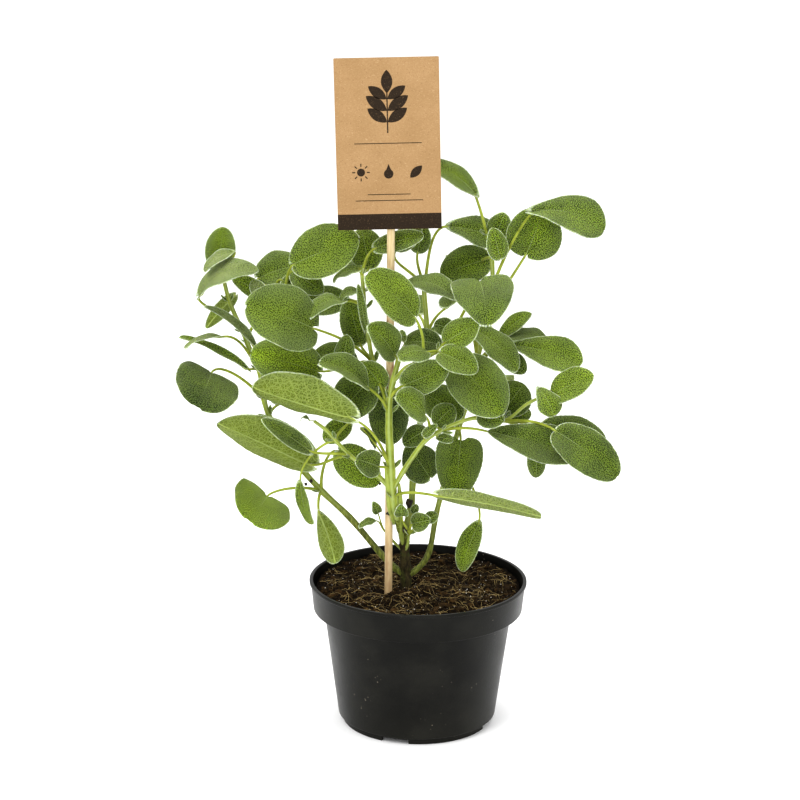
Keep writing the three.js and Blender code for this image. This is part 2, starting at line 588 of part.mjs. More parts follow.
/** The petiole bends out of the stem and runs into the blade's base, sunk into its midrib. */
function petioleSolid(leaf, stemCurve, fraction) {
  const root = stemCurve.getPoint(fraction);
  const reach = root.distanceTo(leaf.base);
  const leave = stemCurve.getTangent(fraction).multiplyScalar(0.5);
  leave.addScaledVector(leaf.base.clone().sub(root).normalize(), 0.5);
  const curve = new THREE.CubicBezierCurve3(
    root,
    root.clone().addScaledVector(leave, 0.4 * reach),
    leaf.base.clone().addScaledVector(leaf.along, -leaf.bend * reach),
    bladePoint(leaf, 0.12, 0),
  );
  const radius = Math.min(PETIOLE_RADIUS, leaf.width / 12);
  const radii = Array(PETIOLE_STEPS + 1).fill(radius);
  return toSolid(bar(curve.getPoints(PETIOLE_STEPS), radii, PETIOLE_SIDES));
}

function leafyStemSolid(stem, parent) {
  const { curve } = stemRings(stem);
  let solid = stemSolid(stem);
  stem.leaves.forEach(([point, base, tip, width, facing, shape]) => {
    const leaf = leafFrame(base, tip, width, facing, shape);
    const petiole = petioleSolid(leaf, curve, point / (stem.path.length - 1));
    solid = solid.add(petiole).add(bladeSolid(leaf));
  });
  return solid.subtract(stemSolid(parent, GAP));
}

// ---------------------------------------------------------------- the object

const MATERIALS = {
  plastic: new THREE.MeshStandardMaterial({ color: 0x1c1d1e, roughness: 0.45, metalness: 0 }),
  soil: new THREE.MeshStandardMaterial({ color: 0x2b1e14, roughness: 1, metalness: 0 }),
  wood: new THREE.MeshStandardMaterial({ color: 0xd9b98c, roughness: 0.75, metalness: 0 }),
  kraft: new THREE.MeshStandardMaterial({ color: 0xc49a6c, roughness: 0.85, metalness: 0 }),
  bark: new THREE.MeshStandardMaterial({ color: 0x4a4426, roughness: 0.9, metalness: 0 }),
  foliage: new THREE.MeshStandardMaterial({ color: 0x6f8f45, roughness: 0.8, metalness: 0 }),
};

const pottedSage = new THREE.Group();

function place(name, geometry, material) {
  const mesh = new THREE.Mesh(geometry, material.clone());
  mesh.name = name;
  pottedSage.add(mesh);
  return mesh;
}

const soilHoles = [stemSolid(CROWN, GAP), stakeSolid(GAP)];
place('pot', toGeometry(potSolid()), MATERIALS.plastic);
place('soil', toGeometry(soilSolid(soilHoles)), MATERIALS.soil);
place('stake', toGeometry(stakeSolid()), MATERIALS.wood);

const card = place('plant_card', new THREE.BoxGeometry(...CARD_SIZE), MATERIALS.kraft);
const stakeFrontY = STAKE_TOP.y - STAKE_RADIUS;
card.position.set(CARD_CENTRE_X, stakeFrontY - GAP - CARD_SIZE.y, CARD_CENTRE_Z);
card.rotation.y = THREE.MathUtils.degToRad(-CARD_LEAN);

place('stem_crown', toGeometry(stemSolid(CROWN)), MATERIALS.bark);
const stemsByName = { stem_crown: CROWN };
LEAFY_STEMS.forEach((stem) => {
  const solid = leafyStemSolid(stem, stemsByName[stem.parent]);
  stemsByName[stem.name] = stem;
  place(stem.name, toGeometry(solid), MATERIALS.foliage);
});

export default pottedSage;
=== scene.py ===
"""Looks of a potted sage: a broad-leaved plant in a black nursery pot, with a kraft card on a rod.

Lengths are in millimetres up to Soup.to_object and the stage, which are in metres. -Y is the front.
"""
import math
import random

import bmesh
import bpy
import numpy as np
from mathutils import Matrix, Vector, noise


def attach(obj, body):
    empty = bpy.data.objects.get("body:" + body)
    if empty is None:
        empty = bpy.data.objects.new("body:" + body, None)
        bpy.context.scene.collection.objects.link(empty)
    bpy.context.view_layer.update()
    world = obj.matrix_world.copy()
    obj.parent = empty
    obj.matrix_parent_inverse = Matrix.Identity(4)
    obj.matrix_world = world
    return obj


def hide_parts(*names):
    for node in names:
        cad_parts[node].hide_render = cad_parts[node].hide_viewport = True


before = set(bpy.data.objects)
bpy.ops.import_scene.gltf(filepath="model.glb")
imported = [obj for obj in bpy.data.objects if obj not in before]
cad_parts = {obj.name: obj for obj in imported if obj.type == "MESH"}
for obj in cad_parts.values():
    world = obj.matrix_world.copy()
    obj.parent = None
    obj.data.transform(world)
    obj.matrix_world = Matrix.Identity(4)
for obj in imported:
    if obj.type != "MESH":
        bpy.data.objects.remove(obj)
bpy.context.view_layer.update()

MM = 0.001

# ------------------------------------------------------------------ the plant

# A place is (across, depth, height): across and height are read in the plane y = 0, and the place is
# slid along its sight line from VIEWPOINT to that depth.
VIEWPOINT = np.array((-13.5, -1600.0, 665.0))

FRONT = (0, -1, 0.4)
FRONT_UP = (0, -0.8, 0.75)
UP = (0, -0.25, 1)
AWAY = (0, 0.9, 0.45)

# arch, bow: rise of the midrib above and beside the line from base to tip; fold: how far each half is
# raised, in degrees; twist: turn of the tip against the base, in degrees; lobe: how far the base's
# corners reach back; wave: how far the edges go up and down; widest: above 1 moves the broadest place
# towards the tip; blunt: below 0.5 makes both ends rounder; skew: how far the midrib lies to one side;
# bend: how far the petiole follows the blade's line before it turns to the stem; tone: above 0 is a
# brighter, yellower leaf, partly its own colour and partly painted light and shade; velvet: 1
# for a leaf greyed all over, partly by its down and partly by a painted sheen.
BLADE_SHAPE = {
    "arch": 3, "bow": 0, "fold": 10, "twist": 0, "lobe": 0.1, "wave": 0.5, "widest": 0.9, "blunt": 0.5,
    "skew": 0, "bend": 0.35, "tone": 0, "velvet": 0,
}


def leaf(point, base, tip, width, facing=FRONT, **shape):
    """A leaf from a point of its stem's path: the blade's base, tip and width, the way its upper face
    looks, and where it departs from BLADE_SHAPE."""
    return point, base, tip, width, facing, shape


# For each node: the stem's radii at its two ends, its path, and its leaves.
LEAFY_STEMS = {
    "leafy_stem_centre": ((3.2, 1.4), [
        (-14.3, -20, 145), (-16.8, -26, 153), (-18, -29, 160), (-18.4, -30, 164.6), (-19.2, -33, 179.5),
        (-20.2, -34, 196), (-20.8, -34, 208), (-20.8, -34, 219), (-20.6, -33, 229), (-18.3, -32, 242),
        (-15, -31, 256), (-13.6, -30, 263),
    ], [
        leaf(2, (16, -36, 161), (84, -48, 147), 15, AWAY, fold=18, arch=2, widest=0.75, blunt=0.33,
             velvet=1),
        leaf(4, (-28, -42, 182), (-43, -56, 187), 19, arch=2, blunt=0.42, tone=-0.6),
        leaf(4, (-47, -44, 218), (-113, -50, 239), 34, AWAY, fold=18, arch=4, widest=1.1, blunt=0.45,
             skew=-0.4),
        leaf(4, (-39, -26, 208), (-30, -24, 194), 7, (1, -0.6, 0.4)),
        leaf(7, (-37, -42, 239), (-68, -54, 255), 27, (0.1, -0.5, 0.9), fold=24, arch=4),
        leaf(7, (-34, -26, 243), (-55, -30, 218), 30, arch=4, tone=-0.6),
        leaf(8, (-22, -25, 235), (-20, -25, 197), 27, (0, -1, 0.1), arch=0, fold=0, wave=0, tone=-0.8),
        leaf(8, (-10, -42, 240), (19, -52, 254), 23, (0, -1, 0.1), arch=3),
        leaf(8, (-25, -27, 238), (-39, -30, 255), 18, arch=1),
        leaf(10, (-18, -37, 261), (-35, -48, 281), 24, FRONT_UP, fold=18),
        leaf(11, (-11, -27, 270), (-13, -25, 278), 5),
    ]),
    "leafy_stem_right_spray": ((1.6, 1), [
        (-18.4, -30, 164.6), (-10.4, -34, 179.6), (-3.6, -36, 190.4), (3.7, -38, 200.3),
        (13.8, -39, 207.5), (24, -38, 212.5), (37.5, -36, 216.9), (57.2, -32, 215), (72.5, -28, 227),
        (89.2, -26, 235.6),
    ], [
        leaf(3, (3, -54, 219), (-16, -70, 232), 23, FRONT_UP, widest=1),
        leaf(3, (3, -42, 204), (12, -45, 212), 7),
        leaf(4, (12, -35, 203), (23, -33, 201), 7),
        leaf(4, (11, -32, 213), (23, -32, 225), 17, widest=1, tone=-0.5),
        leaf(4, (46, -40, 208), (111, -58, 190), 31, (0, -0.75, 0.8), arch=1, fold=16, widest=1.5, lobe=0,
             tone=-1.1),
        leaf(6, (40, -42, 219), (57, -50, 215), 16, widest=1),
        leaf(7, (57, -22, 222), (70, -14, 241), 26, tone=-0.7),
        leaf(7, (62, -22, 217), (75, -16, 222), 12),
        leaf(7, (93, -52, 208), (135, -74, 176), 30, (0.1, -0.9, 0.5), arch=5, widest=1, lobe=0.04,
             blunt=0.4, tone=-0.9),
        leaf(7, (85, -20, 210), (127, -26, 201), 24, FRONT_UP, arch=4, tone=-0.5),
        leaf(7, (79, -26, 198), (80, -24, 175), 13),
        leaf(9, (80, -36, 238), (91, -46, 219), 18, (0.3, -0.9, 0.5), widest=1.8, blunt=0.42, bend=-0.4,
             tone=0.3),
        leaf(9, (91, -32, 234), (117, -46, 246), 24, FRONT_UP, blunt=0.4, tone=1.0),
    ]),
    "leafy_stem_left_spray": ((1.6, 1.1), [
        (-18.4, -30, 164.6), (-26.7, -32, 174), (-35.6, -32, 181), (-46, -30, 188.6), (-57, -27, 200),
        (-63.6, -25, 207.5), (-71.7, -23, 213.8),
    ], [
        leaf(3, (-75, -16, 184), (-137, -34, 212), 36, (-0.2, 0.9, 0.5), fold=20, arch=3, twist=-25,
             skew=-0.15, tone=0.5),
        leaf(3, (-75, -29, 193), (-107, -43, 215), 13, (0.3, -0.8, 0.3), arch=2, tone=-0.5),
        leaf(4, (-81, -26, 169), (-73, -24, 140), 10, (-0.5, -0.8, 0.1), blunt=0.4, tone=0.6),
        leaf(4, (-48, -14, 213), (-65, -13, 200), 16, tone=0.9),
        leaf(6, (-75, -21, 214), (-81, -20, 214), 4, UP),
    ]),
    "leafy_stem_upper": ((1.6, 1.2), [
        (-18.3, -32, 242), (-9.6, -37, 251.5), (-0.2, -40, 256.4), (11.1, -42, 262.8),
    ], [
        leaf(2, (-5, -44, 288), (-36, -66, 316), 30, (0.1, -0.85, 0.6), arch=3, blunt=0.45, tone=0.8),
        leaf(3, (4, -49, 263), (-15, -60, 259), 18, (0, -0.5, 0.9), arch=3, fold=-10),
        leaf(3, (39, -30, 312), (45, -62, 282), 42, (0, -0.57, 0.82), arch=6, widest=0.62, lobe=0.1,
             bend=0.1, tone=-0.6),
        leaf(3, (17, -44, 270), (39, -58, 283), 20, arch=2, tone=0.4),
        leaf(3, (14, -50, 262), (38, -66, 249), 21, (0.1, -0.9, 0.6), arch=3, fold=14, tone=0.3),
    ]),
    "leafy_stem_back": ((2.3, 1.5), [
        (-9.8, -6, 126), (-8.6, -1, 137), (-5.3, 5, 154), (-4.2, 10, 172.5), (-1, 14, 201),
        (0.6, 16, 216), (2.7, 18, 236), (4.3, 20, 274.5), (1.9, 20, 305.5),
    ], [
        leaf(3, (7, -2, 175), (-8, -10, 197), 26, arch=2, tone=-0.7),
        leaf(4, (4, -12, 208), (-11, -18, 198), 15, tone=-0.5),
        leaf(6, (5, -12, 233), (29, -18, 218), 26, arch=2, tone=-0.2),
        leaf(7, (22, -8, 278), (9, -4, 282), 13, tone=-0.6),
        leaf(7, (13, 2, 268), (-11, -4, 269), 20, FRONT_UP, tone=-0.8),
        leaf(8, (19, 20, 349), (52, 30, 340), 24, (0.1, -0.8, 0.7), arch=3, widest=1.4),
        leaf(8, (-16, 0, 334), (-1, 2, 350), 16),
        leaf(8, (-2.5, 12, 332), (1.5, 10, 350), 15),
        leaf(6, (10, 36, 246), (34, 74, 238), 28, (0, 0.5, 1), arch=6),
        leaf(6, (-8, 36, 228), (-26, 76, 234), 27, (0, 0.5, 1), arch=6),
        leaf(7, (-3, 40, 290), (-24, 78, 301), 28, (0, 0.4, 1), arch=7),
        leaf(7, (18, 40, 294), (44, 74, 303), 27, (0, 0.4, 1), arch=6),
        leaf(4, (6, 34, 186), (24, 70, 178), 26, (0, 0.5, 1), arch=5),
    ]),
    "leafy_stem_inner_left": ((1.6, 1.2), [
        (0.6, 16, 216), (-10, 7, 227), (-21, -2, 240), (-31, -8, 254), (-35.4, -10, 275),
        (-37.5, -11, 291.4), (-38.5, -12, 303), (-39.6, -13, 315.4),
    ], [
        # Its tone of 1.5 is painted light: it brightens this leaf against the shade of the leaf above it.
        leaf(3, (-70, -28, 249), (-114, -38, 261), 32, arch=4, blunt=0.42, tone=1.5),
        leaf(3, (-73, -34, 279), (-117, -60, 293), 44, (0.1, -0.85, 0.5), arch=4, lobe=0.12, blunt=0.4,
             tone=-0.2),
        leaf(3, (-53, -24, 252), (-49, -26, 274), 14, arch=1),
        leaf(3, (-45, -2, 255), (-72, 4, 261), 22, FRONT_UP, tone=-0.5),
        leaf(3, (-41, 2, 269), (-49, 6, 299), 20),
        leaf(5, (-52, -20, 297), (-75, -34, 286), 18, (0.2, -0.1, 1), arch=6),
        leaf(5, (-51, 8, 298), (-78, 18, 296), 21, tone=-0.4),
        leaf(6, (-42, -15, 304), (-54, -18, 298), 12, UP),
        leaf(7, (-40, -8, 319), (-59, -5, 311), 16, UP),
        leaf(7, (-35, -2, 321), (-40, 8, 347), 24, tone=0.3),
        leaf(7, (-30, -9, 334), (1, -10, 343), 14, blunt=0.42),
        leaf(4, (-37, -17, 278), (-42, -20, 309), 6, blunt=0.4),
        leaf(7, (-48, 18, 322), (-66, 54, 328), 26, (0, 0.3, 1), arch=5),
    ]),
    "leafy_stem_left_tall": ((2.1, 1.3), [
        (-9, -4.5, 104), (-16, -2, 109), (-24.3, 0, 117.6), (-47, 2, 145), (-66.3, 4, 164),
        (-79.3, 6, 179), (-91.5, 8, 200), (-101.6, 10, 215.7), (-105.6, 10, 228.3), (-107.2, 9.5, 239),
        (-108.8, 9, 249), (-116.7, 8, 268), (-119.4, 8, 275.5), (-127.9, 8, 295.4), (-131.8, 8, 310.5),
    ], [
        # Its tone of 1.1 is painted light: the yellow-green of light shining through this leaf.
        leaf(4, (-104, -4, 160), (-116, -40, 142), 44, (0.5, -0.4, 0.75), arch=4, widest=1.05, blunt=0.28,
             tone=1.1),
        leaf(4, (-68, 2, 148), (-57, -6, 112), 19, (0.2, 0.95, 0.1), arch=3, fold=12, widest=1.6,
             tone=0.2),
        leaf(4, (-54, -6, 192), (-28, -20, 169), 26, arch=3, tone=0.8),
        leaf(8, (-141, -12, 247), (-151, -44, 223), 45, (0.4, -0.5, 0.78), arch=5, lobe=0.04, widest=1.05,
             blunt=0.28, tone=-0.9),
        leaf(10, (-118, 4, 250), (-162, -6, 272), 10, (0.4, -0.35, 0.85), fold=26, tone=0.9),
        leaf(10, (-135, -8, 272), (-159, -16, 264), 12, (-0.2, -0.05, 1), velvet=1),
        leaf(10, (-112, -2, 265), (-145, -18, 293), 10, (0.6, -0.45, 0.6), fold=28, bow=-2, velvet=1),
        leaf(12, (-147, 0, 301), (-109, -10, 318), 27, (-0.2, -0.45, 1), arch=9, velvet=1),
        leaf(11, (-105, 16, 301), (-126, 10, 313), 13, tone=0.8),
        leaf(13, (-125, 22, 300), (-144, 26, 278), 11, (0.3, 0.9, 0.5), tone=0.6),
        leaf(14, (-126, 3, 330), (-145, -3, 317), 12, (0.2, -0.25, 1), velvet=1),
        leaf(14, (-136, 14, 318), (-131.5, 20, 347), 21, arch=1, widest=1),
        leaf(7, (-95, 28, 226), (-80, 62, 232), 26, (0, 0.3, 1), arch=5),
    ]),
    "leafy_stem_left_inner": ((1.7, 1.3), [
        (-107.2, 9.5, 239), (-102, 13, 254), (-96, 13, 277), (-92, 9, 298),
    ], [
        leaf(3, (-84, 2, 323), (-42, -13, 340), 36, (0, -1, 0.45), arch=3, widest=1, tone=0.4),
        leaf(3, (-85, 14, 317), (-66, 6, 303), 18, tone=-0.5),
        leaf(2, (-92, 16, 311), (-77, 14, 302), 15, tone=-0.5),
        leaf(3, (-108, 26, 313), (-78, 32, 321), 30, FRONT_UP, arch=4, tone=-0.3),
        leaf(3, (-106, -6, 300), (-113, -4, 311), 11, velvet=1),
        leaf(2, (-90, 30, 288), (-101, 64, 283), 26, (0, 0.3, 1), arch=5),
    ]),
    "leafy_stem_right_tall": ((1.8, 1.3), [
        (-8, -4, 103), (-2.8, -3, 106.5), (6, -1, 117), (11.9, 2, 147.6), (15.1, 5, 162), (20.9, 8, 187),
        (26.1, 10, 207.6), (31.2, 12, 225.3), (37.5, 14, 254), (43.8, 15, 281.8), (47.4, 15, 305.9),
        (47, 15, 326.3), (44.7, 14, 342.6),
    ], [
        leaf(5, (41, -4, 141), (30, -10, 107), 17, (-0.4, -0.85, 0.2), fold=18, widest=1, tone=0.5),
        leaf(6, (28, -2, 201), (25, -22, 161), 33, (0, -0.95, 0.5), arch=3, lobe=0.06, widest=0.62,
             blunt=0.36),
        leaf(8, (24, -30, 257), (55, -56, 219), 38, (0.1, -0.9, 0.5), arch=4, widest=1),
        leaf(8, (39, -10, 277), (65, -26, 250), 24, (0.3, -0.6, 0.8), arch=4),
        leaf(8, (57, 2, 261), (71, -2, 249), 14),
        leaf(8, (62, -8, 268), (109, -22, 256), 26, (0.2, -0.8, 0.6), arch=4, widest=1.8, tone=0.3),
        leaf(8, (22, -22, 301), (-12, -12, 309), 27, (0.1, -0.3, 1), arch=6, tone=-1),
        leaf(9, (55, 8, 274), (74, 6, 290), 14, (-0.5, -0.6, 0.5), tone=0.5),
        leaf(9, (56, 6, 272), (86, -4, 271), 21, (0.1, -0.3, 1), arch=4, tone=-0.8),
        leaf(10, (73, 0, 359), (121, -14, 347), 31, (0.1, -0.7, 0.7), arch=6, bow=3, widest=1.9,
             blunt=0.4, bend=0.05, tone=-0.8),
        leaf(9, (70, 14, 331), (81, 8, 361), 38, (0.1, -0.95, 0.4), arch=3, blunt=0.42, bend=0.1,
             tone=0.3),
        leaf(11, (44, 30, 327), (13, 26, 316), 27, tone=0.1),
        leaf(11, (52, 4, 328), (47, 0, 348), 15, tone=0.2),
        leaf(12, (49, 16, 342), (55, 14, 358), 17, tone=0.1),
        leaf(11, (35, 10, 371), (2, 2, 391), 18, (0.25, -0.7, 0.75), arch=5, widest=1.1, bend=0.05),
        leaf(8, (45, 34, 242), (56, 72, 238), 28, (0, 0.5, 1), arch=5),
        leaf(11, (36, 40, 324), (22, 76, 322), 27, (0, 0.4, 1), arch=5),
    ]),
    "basal_sprout_left": ((0.9, 0.7), [
        (-9.6, -5.5, 120), (-16, -8, 127), (-23.5, -9.5, 136),
    ], [
        leaf(2, (-30, -13, 143), (-41, -17, 138), 7, (0, -0.5, 1), arch=2),
        leaf(2, (-28, -11, 149), (-31, -14, 157), 7),
    ]),
    "basal_sprout_right": ((1.1, 0.8), [
        (-9.8, -6, 120), (-7.4, -11, 126), (-6.6, -15, 133),
    ], [
        leaf(2, (-12, -26, 147), (-12, -31, 155), 10, widest=1, tone=-0.2),
        leaf(2, (-4, -18, 141), (8, -24, 144), 14, widest=1, tone=-0.2),
        leaf(2, (-4, -14, 149), (-1, -13, 155), 6),
        leaf(2, (5, -13, 144), (13, -12, 148), 9),
    ]),
}


# Two cords that run along the foot of the centre stem, thicker in their middle.
STRANDS = [
    [(-22.8, -33, 182.4), (-21.6, -33, 173.8), (-20.6, -31, 163.8), (-20.2, -27.5, 154.5),
     (-16.9, -20, 140.8)],
    [(-13.7, -32, 169.6), (-12.9, -27, 158.2), (-12.8, -22, 147.4), (-12, -15, 136.6), (-10.6, -8, 125)],
]
STRAND_RADII = ((0, 0.3, 0.8, 1), (0.9, 1.9, 1.7, 1))

# Height up to which a stem turns to wood.
WOODY_BELOW = {"leafy_stem_left_tall": 195, "leafy_stem_right_tall": 180, "leafy_stem_back": 180}
WOODY_FOOT = 135

CROWN_PATH = [
    (-8.4, -4, 60), (-8.3, -4, 96), (-9, -5, 115), (-10.3, -8, 131), (-13.2, -17, 142),
    (-15.8, -23.5, 150),
]
CROWN_RADII = ((0, 0.2, 0.45, 1), (1.8, 3.9, 3.5, 2.8))
CROWN_SNAGS = (18, 24, 30, 37, 43)

# Dead buds and scars on the stems: (place, radius, height as a multiple of the width).
WITHERED = [
    ((-9.3, -18, 136.6), 1.5, 1.5), ((-26.7, -26, 169.5), 0.9, 1.0), ((-26.1, -30, 189.4), 0.8, 1.3),
    ((-77.2, -2, 169), 1.1, 1.2), ((-73.8, -2, 171.2), 1.1, 1.2), ((-19.7, -22.5, 148.5), 2.4, 0.5),
    ((-6.7, 3, 156.1), 2.5, 1.3),
]

# ------------------------------------------------------------------ mesh helpers


def unit(vector):
    return vector / np.linalg.norm(vector)


def polar(radius, turn):
    return radius * math.cos(turn), radius * math.sin(turn)


def sighted(place):
    across, depth, height = place
    in_plane = np.array((across, 0.0, height))
    return (in_plane - VIEWPOINT) * (1 - depth / VIEWPOINT[1]) + VIEWPOINT


class Soup:
    """Points and faces gathered from many parts, each with a material slot, a uv and a tint."""

    def __init__(self):
        self.points, self.faces, self.slots, self.uvs, self.tints = [], [], [], [], []
        self.count = 0

    def add(self, points, faces, slot=0, uvs=None, tint=(0, 0, 0, 0)):
        points = np.asarray(points, float)
        self.points.append(points)
        self.faces.extend([tuple(i + self.count for i in face) for face in faces])
        self.slots.extend([slot] * len(faces))
        self.uvs.append(np.zeros((len(points), 2)) if uvs is None else np.asarray(uvs))
        self.tints.append(np.broadcast_to(np.asarray(tint, float), (len(points), 4)))
        self.count += len(points)

    def to_object(self, name, materials, smooth=True):
        mesh = bpy.data.meshes.new(name)
        mesh.from_pydata((np.concatenate(self.points) * MM).tolist(), [], self.faces)
        for material in materials:
            mesh.materials.append(material)
        mesh.polygons.foreach_set("material_index", self.slots)
        mesh.polygons.foreach_set("use_smooth", [smooth] * len(self.faces))
        corners = np.empty(len(mesh.loops), dtype=np.int32)
        mesh.loops.foreach_get("vertex_index", corners)
        layer = mesh.uv_layers.new(name="surface")
        layer.data.foreach_set("uv", np.concatenate(self.uvs)[corners].ravel().astype(np.float32))
        tint = mesh.color_attributes.new(name="tint", type="FLOAT_COLOR", domain="POINT")
        tint.data.foreach_set("color", np.concatenate(self.tints).ravel().astype(np.float32))
        mesh.validate()
        return show(name, mesh)


def show(name, data):
    """A new object in the scene that holds a mesh, a light or a camera."""
    obj = bpy.data.objects.new(name, data)
    bpy.context.scene.collection.objects.link(obj)
    return obj


def add_piece(piece, slot, *nodes):
    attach(piece, "root")
    if nodes:
        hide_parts(*nodes)


def tube(centres, radii, sides, square=0.0):
    """A closed bar through the centres; square draws its section out at four corners."""
    centres = np.asarray(centres, float)
    count = len(centres)
    along = np.gradient(centres, axis=0)
    along /= np.linalg.norm(along, axis=1)[:, None]
    start = np.array((1.0, 0, 0)) if abs(along[0][0]) < 0.9 else np.array((0, 1.0, 0))
    turn = np.arange(sides) * 2 * math.pi / sides
    points = []
    for i in range(count):
        start = unit(start - along[i] * start.dot(along[i]))
        other = np.cross(along[i], start)
        ring = np.outer(np.cos(turn), start) + np.outer(np.sin(turn), other)
        points.append(centres[i] + radii[i] * ring * (1 + square * np.cos(4 * turn))[:, None])
    faces = []
    for i in range(count - 1):
        for k in range(sides):
            a, b = i * sides + k, i * sides + (k + 1) % sides
            faces.append((a, b, b + sides, a + sides))
    faces.append(tuple(range(sides - 1, -1, -1)))
    faces.append(tuple(range((count - 1) * sides, count * sides)))
    return np.concatenate(points), faces


def lathe(profile, segments):
    """A surface turned about +Z from (radius, height) points that begin and end at radius 0."""
    turn = np.arange(segments) * 2 * math.pi / segments
    circle = np.stack([np.cos(turn), np.sin(turn), np.zeros(segments)], 1)
    points = [np.array([[0, 0, profile[0][1]]])]
    for radius, height in profile[1:-1]:
        points.append(circle * radius + np.array((0, 0, height)))
    points.append(np.array([[0, 0, profile[-1][1]]]))
    faces = []
    rings = len(profile) - 2
    last = 1 + rings * segments
    for k in range(segments):
        n = (k + 1) % segments
        faces.append((0, 1 + n, 1 + k))
        faces.append((last, last - segments + k, last - segments + n))
        for i in range(rings - 1):
            a = 1 + i * segments
            faces.append((a + k, a + n, a + n + segments, a + k + segments))
    return np.concatenate(points), faces


def rounded(profile, radius, steps=4):
    """A profile with every inner corner replaced by a small curve."""
    result = [profile[0]]
    for corners in zip(profile, profile[1:], profile[2:]):
        before, corner, after = (np.array(p, float) for p in corners)
        back, ahead = before - corner, after - corner
        reach = min(radius, 0.45 * np.linalg.norm(back), 0.45 * np.linalg.norm(ahead))
        start, end = corner + unit(back) * reach, corner + unit(ahead) * reach
        for s in np.linspace(0, 1, steps + 1):
            result.append(tuple((1 - s) ** 2 * start + 2 * s * (1 - s) * corner + s * s * end))
    result.append(profile[-1])
    return result


def smooth_path(places, steps):
    """Centripetal Catmull-Rom curve through the places, with as many steps in each span."""
    points = [sighted(p) for p in places]
    ends = [2 * points[0] - points[1]] + points + [2 * points[-1] - points[-2]]
    curve = []
    for p0, p1, p2, p3 in zip(ends, ends[1:], ends[2:], ends[3:]):
        t1 = np.linalg.norm(p1 - p0) ** 0.5
        t2 = t1 + np.linalg.norm(p2 - p1) ** 0.5
        t3 = t2 + np.linalg.norm(p3 - p2) ** 0.5
        for t in np.linspace(t1, t2, steps, endpoint=False):
            a1 = (t1 - t) / t1 * p0 + t / t1 * p1
            a2 = (t2 - t) / (t2 - t1) * p1 + (t - t1) / (t2 - t1) * p2
            a3 = (t3 - t) / (t3 - t2) * p2 + (t - t2) / (t3 - t2) * p3
            b1 = (t2 - t) / t2 * a1 + t / t2 * a2
            b2 = (t3 - t) / (t3 - t1) * a2 + (t - t1) / (t3 - t1) * a3
            curve.append((t2 - t) / (t2 - t1) * b1 + (t - t1) / (t2 - t1) * b2)
    curve.append(points[-1])
    return np.array(curve)


def bezier(p0, p1, p2, p3, steps):
    s = np.linspace(0, 1, steps)[:, None]
    return (1 - s) ** 3 * p0 + 3 * s * (1 - s) ** 2 * p1 + 3 * s * s * (1 - s) * p2 + s ** 3 * p3


def unit_ball():
    ball = bmesh.new()
    bmesh.ops.create_icosphere(ball, subdivisions=2, radius=1)
    points = np.array([v.co[:] for v in ball.verts])
    faces = [tuple(v.index for v in f.verts) for f in ball.faces]
    ball.free()
    return points, faces


# ------------------------------------------------------------------ leaves and stems

UPPER, LOWER, STEM = 0, 1, 2
BLADE_THICKNESS = 0.5
FULL_WIDTH = 26
SMALL_WIDTH = 11
TOOTH_PITCH = 1.35
TOOTH_DEPTH = 0.32
PUCKER = 0.16
EDGE_CURL = 0.05
STATIONS, ACROSS = 64, 15
SMALL_STATIONS, SMALL_ACROSS = 24, 9
PATH_STEPS = 8
ARM_STEPS, RIB_STEPS = 15, 12
PETIOLE_SIDES, STEM_SIDES = 8, 24
LEAST_NODE_WIDTH = 10
NODE_SWELL = 0.13
WOOD_FADE = 70


